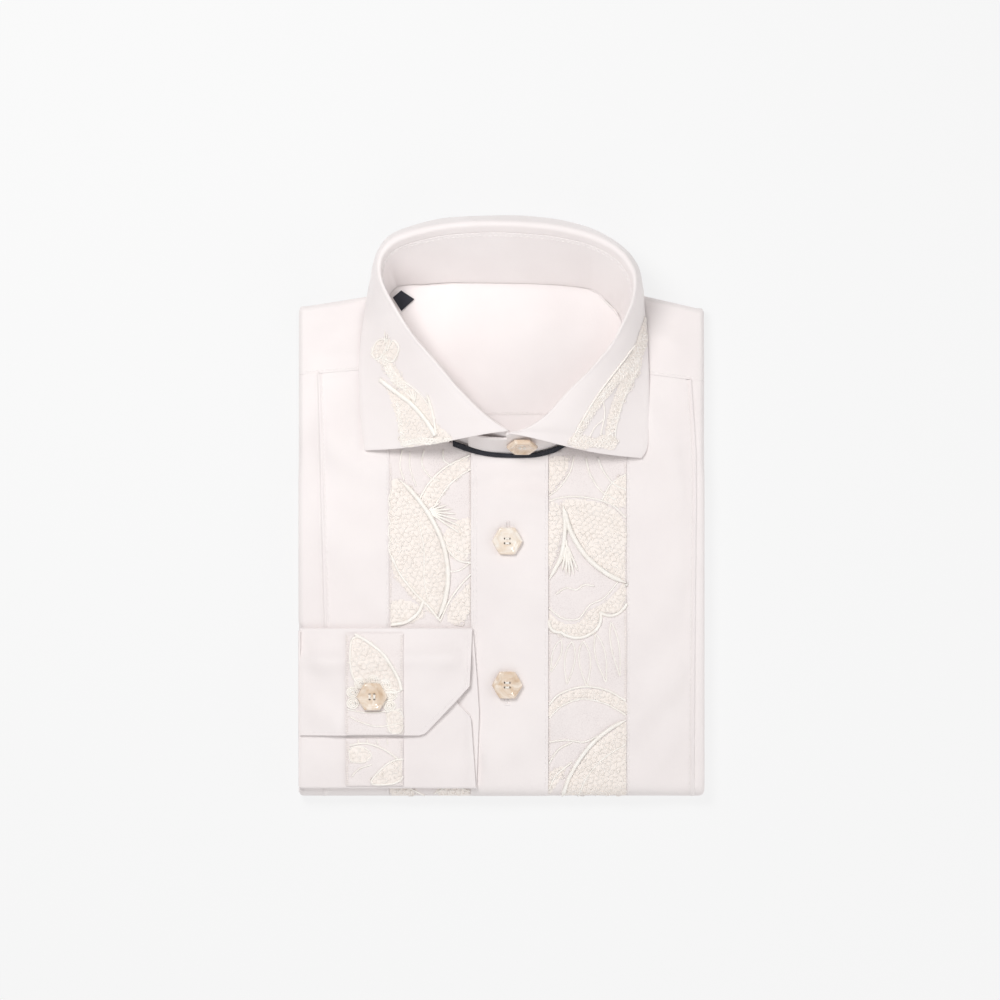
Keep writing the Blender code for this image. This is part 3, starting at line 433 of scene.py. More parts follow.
COTTON = cotton_material("cotton", (0.885, 0.822, 0.812), (0.925, 0.866, 0.855))
# The same cotton with paler tones: painted light that lifts the shade inside the neck, on the stand and on
# its seam fold.
INSIDE_COTTON_PAINTED_LIGHT = cotton_material("inside_cotton_painted_light", (0.90, 0.838, 0.828), (0.94, 0.885, 0.875))
NET = net_material("net", (0.785, 0.716, 0.705), (0.873, 0.808, 0.794), 1.1)
GROUND = net_material("ground", (0.87, 0.785, 0.725), (0.95, 0.88, 0.83), 0.9)
CORD = thread_material("cord", (0.94, 0.885, 0.82), (0.985, 0.95, 0.905), 0.36)
SCALE_THREAD = thread_material("scale_thread", (0.93, 0.86, 0.80), (0.98, 0.93, 0.89), 0.45)
SEWING = thread_material("sewing", (0.88, 0.82, 0.81), (0.96, 0.92, 0.91), 0.5)
PEARL = pearl_material("pearl", (0.84, 0.69, 0.55), (0.95, 0.88, 0.80))
AMBER = pearl_material("amber", (0.68, 0.49, 0.33), (0.92, 0.81, 0.70))
BLACK = tape_material("black", (0.008, 0.009, 0.016), (0.016, 0.017, 0.028))
BUTTON_THREAD = thread_material("button_thread", (0.90, 0.84, 0.76), (0.97, 0.93, 0.88), 0.45)


# Meshes

def mesh_object(name, verts, faces, material, uvs=None, smooth=True):
    """verts in mm, faces as tuples, uvs one pair per vertex in metres."""
    mesh = bpy.data.meshes.new(name)
    places = [tuple(float(c) * MM for c in v) for v in verts]
    mesh.from_pydata(places, [], [tuple(int(i) for i in f) for f in faces])
    if uvs is not None:
        layer = mesh.uv_layers.new(name="cloth")
        index = np.empty(len(mesh.loops), np.int32)
        mesh.loops.foreach_get("vertex_index", index)
        layer.data.foreach_set("uv", np.asarray(uvs, np.float32)[index].ravel())
    mesh.materials.append(material)
    if smooth:
        mesh.shade_smooth()
    mesh.update()
    obj = bpy.data.objects.new(name, mesh)
    bpy.context.scene.collection.objects.link(obj)
    return obj


def grid_normals(grid, up):
    """Unit normals of a grid, on the side that faces up."""
    along = np.gradient(grid, axis=0)
    across = np.gradient(grid, axis=1)
    normal = np.cross(along, across)
    normal /= np.maximum(1e-9, np.linalg.norm(normal, axis=2, keepdims=True))
    if float((normal @ vec(*up)).sum()) < 0:
        normal = -normal
    return normal


def run_along(path):
    """Distance from the first point along a path, at each of its points."""
    return np.concatenate([[0], np.cumsum(np.linalg.norm(np.diff(path, axis=0), axis=1))])


def places_at(path, run, at):
    """Points of a path at given distances along it."""
    return np.stack([np.interp(at, run, path[:, axis]) for axis in range(path.shape[1])], axis=-1)


def arc_lengths(grid):
    """Distance along each axis of a grid, in metres, for the weave."""
    steps0 = np.linalg.norm(np.diff(grid, axis=0), axis=2)
    steps1 = np.linalg.norm(np.diff(grid, axis=1), axis=2)
    u = np.vstack([np.zeros((1, grid.shape[1])), np.cumsum(steps0, axis=0)]) * MM
    v = np.hstack([np.zeros((grid.shape[0], 1)), np.cumsum(steps1, axis=1)]) * MM
    return u, v


def shell(name, grid, thickness, material, up=(0, 0, 1), offset=-1.0, rim=0.25):
    """A closed thin sheet through a grid of points, its edges rounded.

    offset -1 puts the wall under the points, 0 has them in its middle.
    """
    grid = np.asarray(grid, float)
    rows, columns = grid.shape[:2]
    normal = grid_normals(grid, up)
    outer = grid + normal * thickness * (1 + offset) / 2
    inner = outer - normal * thickness
    u, v = arc_lengths(grid)
    # The weave runs in straight lines, so each axis takes its mean spacing.
    u = np.repeat(u.mean(axis=1)[:, None], columns, axis=1)
    v = np.repeat(v.mean(axis=0)[None, :], rows, axis=0)
    uv = np.stack([v, u], axis=2).reshape(-1, 2)
    verts = np.vstack([outer.reshape(-1, 3), inner.reshape(-1, 3)])
    count = rows * columns
    index = np.arange(count).reshape(rows, columns)
    quads = np.stack([index[:-1, :-1], index[:-1, 1:], index[1:, 1:], index[1:, :-1]], axis=2).reshape(-1, 4)
    # Which way round makes the outer face look along the normal.
    middle = rows // 2, columns // 2
    a = outer[middle]
    b = outer[middle[0], min(middle[1] + 1, columns - 1)]
    c = outer[min(middle[0] + 1, rows - 1), middle[1]]
    if float(np.cross(b - a, c - a) @ normal[middle]) < 0:
        quads = quads[:, ::-1]
    faces = [tuple(q) for q in quads] + [tuple(q[::-1] + count) for q in quads]
    border = list(index[0, :]) + list(index[1:, -1]) + list(index[-1, -2::-1]) + list(index[-2:0:-1, 0])
    first = (border[0], border[1])
    forward = any(first[0] == q[i] and first[1] == q[(i + 1) % 4] for q in quads[:columns] for i in range(4))
    for i, a in enumerate(border):
        b = border[(i + 1) % len(border)]
        side = (a, a + count, b + count, b) if forward else (a, b, b + count, a + count)
        faces.append(side)
    obj = mesh_object(name, verts, faces, material, np.vstack([uv, uv]))
    if rim:
        bevel = obj.modifiers.new("rim", "BEVEL")
        bevel.width = rim * MM
        bevel.segments = 2
        bevel.limit_method = "ANGLE"
        bevel.angle_limit = math.radians(50)
    return obj


def cut_with(obj, cutter):
    cut = obj.modifiers.new("cut", "BOOLEAN")
    cut.operation = "DIFFERENCE"
    cut.object = cutter
    cut.solver = "EXACT"


def bake(obj):
    """Replaces the mesh by what its modifiers make."""
    graph = bpy.context.evaluated_depsgraph_get()
    made = bpy.data.meshes.new_from_object(obj.evaluated_get(graph), depsgraph=graph)
    obj.modifiers.clear()
    obj.data = made
    return obj


def tree_of(obj):
    mesh = obj.data
    verts = [tuple(v.co) for v in mesh.vertices]
    faces = [tuple(p.vertices) for p in mesh.polygons]
    return BVHTree.FromPolygons(verts, faces)


def drop(tree, x, y):
    """Point in mm and upward normal on a piece, straight under a place."""
    point, normal, _, _ = tree.ray_cast(Vector((x * MM, y * MM, RAY_START_Z)), Vector((0, 0, -1)))
    if point is None:
        return None
    normal = vec(*normal)
    if normal[2] < 0:
        normal = -normal
    return vec(*point) / MM, normal


# The upper side: fronts, lace, placket

def strip_grid(columns):
    """Columns of points over the top, round the bottom fold and back under.

    A column has its x as a function of y and its top y. It may have a roll round the side edge, the side
    that it is on, a raise over the cloth, and whether the cuff presses that raise flat.
    """
    top_rows = int((YOKE_SEAM_TOP_Y - FOLD_Y) / TOP_ROW_SPACING)
    lines = []
    for column in columns:
        top = column["top"]
        roll, side, lift = column.get("roll", 0.0), column.get("side", 0), column.get("raise", 0.0)
        ys = top + (FOLD_Y - top) * np.linspace(0, 1, top_rows)
        xs = np.array([float(column["x"](y)) for y in ys])
        zs = top_z(xs, ys)
        ny, nz, depth = np.zeros(top_rows), np.ones(top_rows), slab_depth(ys)
        angles = np.linspace(0, math.pi, FOLD_ROWS)[1:]
        start = float(top_z(float(column["x"](FOLD_Y)), FOLD_Y))
        turned = np.cos(angles)
        fold_z = FOLD_RADIUS + FOLD_RADIUS * turned + (start - PACK_HEIGHT) * np.maximum(0, turned)
        fold_y = FOLD_Y - FOLD_RADIUS * np.sin(angles)
        under_y = np.linspace(FOLD_Y, TAIL_HEM_Y, UNDER_ROWS)[1:]
        ys = np.concatenate([ys, fold_y, under_y])
        zs = np.concatenate([zs, fold_z, np.zeros(len(under_y))])
        ny = np.concatenate([ny, -np.sin(angles), np.zeros(len(under_y))])
        nz = np.concatenate([nz, np.cos(angles), -np.ones(len(under_y))])
        depth = np.concatenate([depth, np.full(len(angles) + len(under_y), SLAB)])
        inward = (1 - math.cos(roll)) * depth / 2
        up = lift * np.maximum(0.0, nz)
        if column.get("pressed"):
            up = up * (1 - squeeze(ys, zs) / CUFF_SQUEEZE)
        xs = np.array([float(column["x"](y)) for y in ys]) + side * EDGE_ROLL * math.sin(roll)
        if side < 0:
            xs = xs + squeeze(ys, zs)
        lines.append(np.stack([xs, ys + ny * (up - inward), zs + nz * (up - inward)], axis=1))
    return np.array(lines).transpose(1, 0, 2)


def fixed(value):
    return lambda y: value


def panel(name, side, seam_x, tuck):
    """A plain front, its side edge rolled under, with a pin tuck."""
    edge_x = side * ROLL_X
    seam_top = float(table_at(YOKE_SEAM, edge_x)) - SEAM_CLOSE
    columns = []
    for step in range(14, -1, -1):
        columns.append({"x": fixed(edge_x), "top": seam_top, "side": side, "roll": math.pi * step / 14})
    tuck_top = float(table_at(YOKE_SEAM, table_at(tuck, TUCK_TOP_Y))) - SEAM_CLOSE
    for share in (0.3, 0.6, 0.85):
        columns.append({"x": lambda y, s=share: edge_x * (1 - s) + (table_at(tuck, y) + side * TUCK_HALF) * s,
                        "top": tuck_top})
    for offset, share in TUCK_PROFILE:
        columns.append({"x": lambda y, o=offset: table_at(tuck, y) + side * o, "top": tuck_top,
                        "raise": TUCK_RAISE * share, "pressed": side < 0})
    for share in np.linspace(0, 1, 26)[1:]:
        def x_of(y, s=share):
            return (table_at(tuck, y) - side * TUCK_HALF) * (1 - s) + seam_x * s
        columns.append({"x": x_of, "top": float(table_at(YOKE_SEAM, x_of(TUCK_TOP_Y))) - SEAM_CLOSE})
    return shell(name, strip_grid(columns), SHELL, COTTON)


def strip(name, x_first, x_last, material, thickness, lift=0.0):
    """A straight strip of the front: lace or placket."""
    count = int(abs(x_last - x_first) / 1.8) + 2
    columns = []
    for x in np.linspace(x_first, x_last, count):
        top = float(table_at(YOKE_SEAM, x)) - SEAM_CLOSE
        columns.append({"x": fixed(float(x)), "top": top, "raise": lift})
    return shell(name, strip_grid(columns), thickness, material)


def yoke_line(x, share, side):
    """One line of the yoke from its front seam over the shoulder to the back seam, rolled at the sides."""
    edge = float(shoulder_y(x)) - SHOULDER_ROLL
    seam = float(table_at(YOKE_SEAM, x))
    line = []
    for v in np.linspace(0, 1, 18)[:-1]:
        y = seam + (edge - seam) * v
        roll = share * math.radians(150 - 66 * v)
        height = float(top_z(x, y))
        line.append((x + side * EDGE_ROLL * math.sin(roll), y, height / 2 * (1 + math.cos(roll))))
    height = float(top_z(x, edge))
    narrow = (ROLL_X - 2.5) / ROLL_X
    for turn in np.linspace(0, math.pi, 15):
        roll = share * math.radians(84 - 66 * turn / math.pi)
        scale = 1 + (narrow - 1) * float(smoothstep(0, math.pi, turn))
        y = edge + SHOULDER_ROLL * math.sin(turn)
        z = height / 2 * (1 + math.cos(turn) * math.cos(roll))
        line.append(((x + side * EDGE_ROLL * math.sin(roll)) * scale, y, z))
    last_x, last_y, last_z = line[-1]
    for y in np.linspace(last_y, YOKE_BACK_SEAM_Y + SEAM_GAP, 10)[1:]:
        line.append((last_x, y, last_z))
    return line


def make_yoke():
    columns = [(-ROLL_X, share, -1) for share in np.linspace(1, 0, 9)[:-1]]
    columns += [(float(x), 0.0, 0) for x in np.linspace(-ROLL_X, ROLL_X, 75)]
    columns += [(ROLL_X, share, 1) for share in np.linspace(0, 1, 9)[1:]]
    grid = np.array([yoke_line(*column) for column in columns]).transpose(1, 0, 2)
    return shell("yoke_cloth", grid, SHELL, COTTON)


def inner_sheet(name, y_first, y_last, rows):
    """Cloth that shows inside the neck, one seam gap under the yoke and the fronts."""
    lines = []
    for x in np.linspace(-104, 104, 70):
        last = min(y_last, float(shoulder_y(x)) - SHOULDER_ROLL - 1.5)
        ys = np.linspace(y_first, last, rows)
        zs = base_top_z(x, ys) - WALL - SEAM_GAP
        # Slack cloth inside the neck rises and sinks a little.
        slack = 0.28 * np.sin(x / 9 + ys / 13) * np.exp(-((x - 2) / 50) ** 2)
        lines.append([(x, y, z + s * 0.4 - 0.1) for y, z, s in zip(ys, zs, slack)])
    return shell(name, np.array(lines).transpose(1, 0, 2), SHELL, INSIDE_COTTON_PAINTED_LIGHT, rim=0.05)


def make_back_lower():
    ys = np.concatenate([np.linspace(YOKE_BACK_SEAM_Y - SEAM_GAP, THICK_TO_Y, 8), np.linspace(27, 14.5, 12)])
    lines = []
    for x in np.linspace(-108.6, 108.6, 40):
        lines.append([(x, y, float(PACK_HEIGHT - slab_depth(y))) for y in ys])
    return shell("back_lower_cloth", np.array(lines).transpose(1, 0, 2), SHELL, COTTON, up=(0, 0, -1))


# The collar

def catmull(rows, per_span):
    """A smooth table through the rows, per_span steps for each."""
    rows = np.asarray(rows, float)
    padded = np.vstack([2 * rows[0] - rows[1], rows, 2 * rows[-1] - rows[-2]])
    out = []
    for i in range(1, len(padded) - 2):
        a, b, c, d = padded[i - 1], padded[i], padded[i + 1], padded[i + 2]
        for step in range(per_span):
            t = step / per_span
            out.append(0.5 * (2 * b + (c - a) * t + (2 * a - 5 * b + 4 * c - d) * t * t
                              + (3 * b - 3 * c + d - a) * t * t * t))
    out.append(rows[-1])
    return np.array(out)


def base_z(x, y):
    return float(base_top_z(x, y)) - WALL


RIDGE_STEPS = 9
FALL_SHARES = np.linspace(0, 1, 23)[1:]
PER_STATION = 6


def station_points(row):
    """Ridge, base and edge of the collar at one station."""
    return vec(*row[:3]), vec(row[3], row[4], base_z(row[3], row[4])), vec(*row[5:])


def leaf_line(row, bow):
    """The leaf's middle line: up the lip, over the ridge and down to its edge."""
    ridge, base, edge = station_points(row)
    rise = unit(ridge - base)
    fall = unit(edge - ridge)
    outward = unit(fall - rise * fall.dot(rise))
    start = ridge - RIDGE_RADIUS * (outward + rise)
    line = [start - rise * (LEAF_LIP - RIDGE_RADIUS) * part for part in (1.0, 0.75, 0.5, 0.25)]
    centre = start + RIDGE_RADIUS * outward
    turn = math.acos(max(-1.0, min(1.0, rise.dot(fall))))
    for angle in np.linspace(0, turn, RIDGE_STEPS):
        line.append(centre + RIDGE_RADIUS * (rise * math.sin(angle) - outward * math.cos(angle)))
    begin = line[-1]
    span = edge - begin
    side = unit(np.cross(fall, np.cross(rise, fall)))
    in_front = float(smoothstep(5.0, 14.0, edge[2]))
    for share in FALL_SHARES:
        bulge = LEAF_BULGE * (1.3 - 1.2 * share) + ROLL_BULGE * in_front * (1 - share) ** 3
        point = begin + span * share + side * bulge * math.sin(math.pi * share)
        point = point - vec(0, FRONT_EDGE_BOW * bow * math.sin(math.pi * share), 0)
        line.append(point)
    return line


def make_leaf():
    """The leaf that turns down over the stand and ends in the two points."""
    fine = catmull(COLLAR_STATIONS, PER_STATION)
    lines = []
    for index, row in enumerate(fine):
        from_end = min(index, len(fine) - 1 - index) / PER_STATION
        lines.append(leaf_line(row, max(0.0, 1 - from_end)))
    grid = np.array(lines)
    # Slight unevenness of the pressed leaf
    station = np.arange(len(fine))[:, None] / PER_STATION
    share = np.linspace(0, 1, grid.shape[1])[None, :]
    ripple = 0.22 * np.sin(station * 1.3 + 2.0 * share) * np.sin(math.pi * share) ** 2
    ripple = ripple + 0.12 * np.sin(station * 3.1 + 5 * share) * np.sin(math.pi * share)
    grid = grid + grid_normals(grid, (0, 0, 1)) * ripple[:, :, None]
    return shell("collar_leaf_cloth", grid, COLLAR_WALL, COTTON, offset=0.0, rim=0.45)


def stand_end(x, y, share):
    """Base and top of the stand past the leaf's ends, at a share of its full height."""
    lean = vec(*STAND_LEAN)
    rise = unit(lean)
    base = vec(x, y, base_z(x, y)) + rise * STAND_FOOT
    return base, base + rise * (float(np.linalg.norm(lean)) - LEAF_LIP - STAND_FOOT - SEAM_GAP) * share


def make_stand():
    """The standing band, and the base and top of each of its upright lines."""
    pairs = [stand_end(*place) for place in UNDER_END]
    for row in COLLAR_STATIONS:
        ridge, base, _ = station_points(row)
        rise = unit(ridge - base)
        pairs.append((base + rise * STAND_FOOT, leaf_line(row, 0.0)[0] - rise * LIP_GAP))
    pairs += [stand_end(*place) for place in OVER_END]
    lines = catmull([np.concatenate(pair) for pair in pairs], PER_STATION)
    shares = np.linspace(0, 1, STAND_ROWS)
    grid = np.array([[row[:3] + (row[3:] - row[:3]) * share for share in shares] for row in lines])
    # Upright pulls, strongest low down at the back
    at = np.arange(len(lines))[:, None] / PER_STATION - len(UNDER_END)
    height = shares[None, :]
    pulls = np.zeros((len(lines), STAND_ROWS))
    for place, width, depth in STAND_PULLS:
        pulls += depth * np.exp(-((at - place + 0.35 * height) / width) ** 2) * (1 - height) ** 0.7
    pulls = pulls * np.sin(math.pi * np.clip(height + 0.12, 0, 1))
    grid = grid + grid_normals(grid, (0, 0, 1)) * pulls[:, :, None]
    return shell("collar_stand_cloth", grid, COLLAR_WALL, INSIDE_COTTON_PAINTED_LIGHT, offset=0.0, rim=0.4), lines


def neck_outline():
    """The line outside the stand's foot, along which the pieces under it are cut."""
    rows = catmull(COLLAR_STATIONS, 4)[8:]
    points = [vec(row[3], row[4]) for row in rows]
    leans = [(vec(row[0], row[1]) - vec(row[3], row[4])) / (row[2] - PACK_HEIGHT) for row in rows]
    points += [vec(*place) for place in NECK_FRONT]
    leans += [vec(0, 0.45)] * len(NECK_FRONT)
    moved = []
    for i, (point, lean) in enumerate(zip(points, leans)):
        along = unit(points[(i + 1) % len(points)] - points[i - 1])
        normal = vec(along[1], -along[0])
        if normal.dot(point - NECK_CENTRE) < 0:
            normal = -normal
        slope = lean.dot(normal)
        wall = COLLAR_WALL / 2 * math.hypot(1, slope) + SEAM_GAP
        moved.append(point + normal * (wall + 0.1 + 2.0 * max(0.0, slope)))
    return moved


def make_neck_cutter():
    """A solid over the neck, which the pieces round it are cut with."""
    outline = neck_outline()
    count = len(outline)
    verts = [(x, y, z) for z in NECK_CUT_Z for x, y in outline]
    faces = [tuple(range(count)), tuple(range(2 * count - 1, count - 1, -1))]
    for i in range(count):
        j = (i + 1) % count
        faces.append((i, i + count, j + count, j))
    cutter = mesh_object("neck_hole", verts, faces, COTTON, smooth=False)
    made = bmesh.new()
    made.from_mesh(cutter.data)
    bmesh.ops.recalc_face_normals(made, faces=made.faces)
    made.to_mesh(cutter.data)
    made.free()
    return cutter


# The cuff and the sleeve end

def front_height(x, y):
    """Height of what the cuff lies on, with the placket's edge."""
    return base_top_z(x, np.maximum(y, FOLD_Y)) + (PLACKET_RAISE + 0.1) * smoothstep(-21.0, -17.4, x)


def overlap_height(y):
    """Height of the overlap over the front, as it rises over the underlap."""
    under, over = CUFF_LAYERS[1:]
    return under + (over - under) * float(smoothstep(-OVERLAP_RISE_Y[0], -OVERLAP_RISE_Y[1], -y))


def cuff_creases(xs, y, over):
    """Creases of the layer that shows, none where the overlap presses on the underlap."""
    fade = 1 - smoothstep(-72, -66, y) if over else 1 - smoothstep(-136, -129, y)
    return crease_height(xs, y, CUFF_CREASES) * fade


def cuff_section():
    """Places round the folded cuff: y, height over the front, and the hem that ends the layer."""
    back, under = CUFF_LAYERS[:2]
    path = []
    for y in np.linspace(UNDERLAP_END_Y, CUFF_TURN_Y, UNDERLAP_ROWS):
        path.append((y, under, UNDERLAP_HEM))
    for angle in np.linspace(0, math.pi, 11):
        y = CUFF_BOTTOM_Y + CUFF_FOLD - CUFF_FOLD * math.sin(angle)
        path.append((y, (back + under) / 2 + CUFF_FOLD * math.cos(angle),
                     BACK_HEM if angle > 1.7 else UNDERLAP_HEM))
    for y in np.linspace(CUFF_TURN_Y, -76.0, 16):
        path.append((y, back, BACK_HEM))
    for angle in np.linspace(0, math.pi, 11):
        y = CUFF_TOP_Y - CUFF_FOLD + CUFF_FOLD * math.sin(angle)
        path.append((y, (back + under) / 2 - CUFF_FOLD * math.cos(angle),
                     BACK_HEM if angle < 1.4 else OVERLAP_HEM))
    for y in np.concatenate([np.linspace(-72, -125.8, 36), [-126.2, -126.6, OVERLAP_EDGE_Y]]):
        path.append((y, overlap_height(y), OVERLAP_HEM))
    return path


def make_cuff():
    """The cuff in one sheet, folded twice: underlap, back and overlap."""
    lines = []
    for index, (y, height, hem) in enumerate(cuff_section()):
        end = float(table_at(hem, y))
        xs = np.concatenate([np.linspace(CUFF_LEFT_X, end - 9, 40), end - vec(6.5, 4.0, 2.5, 1.2, 0.5, 0.0)])
        soft = np.zeros(len(xs))
        if index < UNDERLAP_ROWS or index >= OVERLAP_FIRST_ROW:
            soft = cuff_creases(xs, y, index >= OVERLAP_FIRST_ROW)
            soft = soft * smoothstep(-111, -100, xs) * (1 - smoothstep(-30, -18, xs))
        zs = front_height(xs, y) + height + soft
        lines.append(np.stack([xs, np.full(len(xs), y), zs], axis=1))
    return shell("cuff_cloth", np.array(lines), CUFF_WALL * 0.9, COTTON, offset=0.0, rim=0.4)


def cuff_patch(name, ys, over):
    """Net on the part of the lace strip that shows on one layer of the cuff."""
    lines = []
    for y in ys:
        lift = overlap_height(y) if over else CUFF_LAYERS[1]
        xs = np.linspace(*CUFF_LACE_X, 26)
        zs = front_height(xs, y) + lift + cuff_creases(xs, y, over) + CUFF_WALL / 2 + SEAM_GAP + LACE_SHELL
        lines.append(np.stack([xs, np.full(len(xs), y), zs], axis=1))
    return shell(name, np.array(lines), LACE_SHELL, NET, offset=-1.0, rim=0.15)


def make_sleeve():
    """The sleeve end under the cuff, which hangs down the side and goes into the fold."""
    lines = []
    for y in np.linspace(-69.4, -155.6, 44):
        over = float(smoothstep(-128.4, -126.4, y))
        top = PACK_HEIGHT + CUFF_LAYERS[1] + 0.4 + (CUFF_LAYERS[2] - CUFF_LAYERS[1]) * over
        x = -HALF_WIDTH + 0.7
        low_y = max(y, SLEEVE_TUCK_Y)
        pucker = 0.12 * math.sin(y / 4.1) + 0.1 * math.sin(y / 9.3)
        points = [(x + 0.35, y, top), (x, y, top - 1.6), (x + pucker * 0.5, y, 10.5), (x + 0.5, low_y, 8.6),
                  (x + 1.7, low_y, 7.4), (x + 3.2, low_y, 7.0), (SLEEVE_SLIT_X, low_y, 7.0)]
        lines.append(catmull(points, 4))
    return shell("sleeve_cloth", np.array(lines), 1.0, COTTON, up=(-1, 0, 0), offset=0.0, rim=0.3)


def make_tape():
    """Black tape along the front of the stand, thinner in the middle and at its right end."""
    rise = vec(*TAPE_RISE)
    lines = []
    for x, y in catmull(TAPE_LINE, 8):
        girth = 0.66 + 0.34 * min(1.0, abs(x - 6) / 26) ** 1.5 - 0.6 * float(smoothstep(29, 37, x))
        bottom = vec(x, y - 0.7, TAPE_Z - 0.3) + rise * (1 - girth) * 0.5
        lines.append([bottom + rise * girth * part for part in np.linspace(0, 1, 5)])
    return shell("neck_tape_cloth", np.array(lines), 0.9, BLACK, up=(0, -1, 0), offset=0.0, rim=0.2)


def make_size_tab():
    x, y = SIZE_TAB_CENTRE
    corners = [vec(x + dx, y + dy) for dx, dy in SIZE_TAB_CORNERS]
    lines = []
    for v in np.linspace(0, 1, 9):
        line = []
        for u in np.linspace(0, 1, 9):
            near = corners[0] * (1 - u) + corners[1] * u
            far = corners[3] * (1 - u) + corners[2] * u
            place = near * (1 - v) + far * v
            curl = 0.35 * (abs(u - 0.5) * 2) ** 3
            line.append((place[0], place[1], float(base_top_z(*place)) - WALL - SEAM_GAP + 1.15 + curl))
        lines.append(line)
    return shell("size_tab_cloth", np.array(lines), 0.7, BLACK, offset=-1.0, rim=0.15)


# Threads, cords and lace motifs

class Threads:
    """Tubes of thread gathered into one mesh."""

    def __init__(self):
        self.verts = []
        self.faces = []

    def tube(self, points, normals, width, height=None, sides=6, twist=0.0, pitch=1.1, taper=0.0):
        """A tube along points in mm, flattened against the normals.

        twist is how far the radius swells at each turn of the thread, one turn each pitch.
        """
        points = np.asarray(points, float)
        if len(points) < 2:
            return
        height = height or width
        along = np.gradient(points, axis=0)
        along /= np.maximum(1e-9, np.linalg.norm(along, axis=1, keepdims=True))
        normals = np.asarray(normals, float)
        across = np.cross(along, normals)
        across /= np.maximum(1e-9, np.linalg.norm(across, axis=1, keepdims=True))
        run = run_along(points)
        swell = 1 + twist * np.cos(2 * math.pi * run / pitch)
        if taper:
            end = np.minimum(run, run[-1] - run)
            swell = swell * (0.25 + 0.75 * smoothstep(0, taper, end))
        first = len(self.verts)
        for i, point in enumerate(points):
            for k in range(sides):
                angle = 2 * math.pi * k / sides
                self.verts.append(point + swell[i] * (across[i] * math.cos(angle) * width
                                                      + normals[i] * math.sin(angle) * height))
        for i in range(len(points) - 1):
            for k in range(sides):
                a = first + i * sides + k
                b = first + i * sides + (k + 1) % sides
                self.faces.append((a, b, b + sides, a + sides))
        self.faces.append(tuple(first + k for k in range(sides))[::-1])
        end = first + (len(points) - 1) * sides
        self.faces.append(tuple(end + k for k in range(sides)))

    def laid(self, tree, path, width, height=None, lift=0.0, step=0.5, **style):
        """A thread laid on a piece along a path of x, y places."""
        path = np.asarray(path, float)
        run = run_along(path)
        count = max(3, int(run[-1] / step) + 1)
        points, normals = [], []
        for x, y in places_at(path, run, np.linspace(0, run[-1], count)):
            hit = drop(tree, x, y)
            if hit is None:
                continue
            if points and np.linalg.norm(hit[0] - points[-1]) > 4 * step + 2:
                self.tube(points, normals, width, height, **style)
                points, normals = [], []
            points.append(hit[0] + hit[1] * lift)
            normals.append(hit[1])
        self.tube(points, normals, width, height, **style)

    def stitches(self, tree, path, width, length=2.0, gap=0.9):
        """A row of single stitches along a path of x, y places."""
        path = np.asarray(path, float)
        run = run_along(path)
        at = 0.4
        while at + length < run[-1]:
            hits = [drop(tree, x, y) for x, y in places_at(path, run, np.linspace(at, at + length, 4))]
            if all(hit is not None for hit in hits):
                depth = (-0.12, 0.08, 0.08, -0.12)
                points = [hit[0] + hit[1] * d for hit, d in zip(hits, depth)]
                if np.linalg.norm(points[-1] - points[0]) < 1.6 * length:
                    self.tube(points, [hit[1] for hit in hits], width, width * 0.8, sides=5)
            at += length + gap * DICE.uniform(0.85, 1.15)

    def made(self, name, material):
        return mesh_object(name, self.verts, self.faces, material)


def inside(polygon, x, y):
    """True where a point lies in a closed line."""
    result = False
    for (x0, y0), (x1, y1) in zip(polygon, np.roll(polygon, -1, axis=0)):
        if (y0 > y) != (y1 > y) and x < (x1 - x0) * (y - y0) / (y1 - y0) + x0:
            result = not result
    return result


def smooth_path(points, closed=False, per_span=8):
    """A smooth line through a few points, closed without a corner where asked."""
    points = [tuple(p) for p in points]
    if not closed:
        return catmull(points, per_span)
    looped = points[-2:] + points + points[:3]
    fine = catmull(looped, per_span)
    return fine[2 * per_span: -2 * per_span]


def patch(tree, polygon, step, lift, mesh_data):
    """A thin ground over a closed line, added to mesh_data as quads."""
    verts, faces = mesh_data
    low, high = polygon.min(axis=0), polygon.max(axis=0)
    xs = np.arange(low[0] - step, high[0] + step, step)
    ys = np.arange(low[1] - step, high[1] + step, step)
    index = {}

    def vertex(i, j):
        if (i, j) not in index:
            hit = drop(tree, xs[i], ys[j])
            if hit is None:
                index[i, j] = None
            else:
                index[i, j] = len(verts)
                verts.append(hit[0] + hit[1] * lift)
        return index[i, j]

    for i in range(len(xs) - 1):
        for j in range(len(ys) - 1):
            if inside(polygon, xs[i] + step / 2, ys[j] + step / 2):
                corner = [vertex(i, j), vertex(i + 1, j), vertex(i + 1, j + 1), vertex(i, j + 1)]
                if None not in corner:
                    faces.append(tuple(corner))


def scales(threads, tree, polygon, pitch=3.3, drop_row=2.5, radius=1.75, turn=0.0, width=0.27, lift=0.35):
    """Rows of small arcs, like fish scales, over a closed line."""
    centre = polygon.mean(axis=0)
    cos, sin = math.cos(turn), math.sin(turn)
    reach = float(np.abs(polygon - centre).sum(axis=1).max())
    rows = int(reach / drop_row) + 1
    columns = int(reach / pitch) + 1
    for row in range(-rows, rows + 1):
        for column in range(-columns, columns + 1):
            u = (column + 0.5 * (row % 2)) * pitch + DICE.uniform(-0.55, 0.55)
            v = row * drop_row + DICE.uniform(-0.4, 0.4)
            x = centre[0] + u * cos - v * sin
            y = centre[1] + u * sin + v * cos
            if not inside(polygon, x, y):
                continue
            size = radius * DICE.uniform(0.75, 1.12)
            lean = DICE.uniform(-1.1, 1.1)
            arc = []
            for angle in np.linspace(-0.35, math.pi + 0.35, 9):
                du, dv = size * math.cos(angle + lean), -size * math.sin(angle + lean) * 0.95
                arc.append((x + du * cos - dv * sin, y + du * sin + dv * cos))
            points, normals = [], []
            for px, py in arc:
                hit = drop(tree, px, py)
                if hit is not None:
                    points.append(hit[0] + hit[1] * lift)
                    normals.append(hit[1])
            if len(points) > 4:
                threads.tube(points, normals, width, width * 0.62, sides=5)


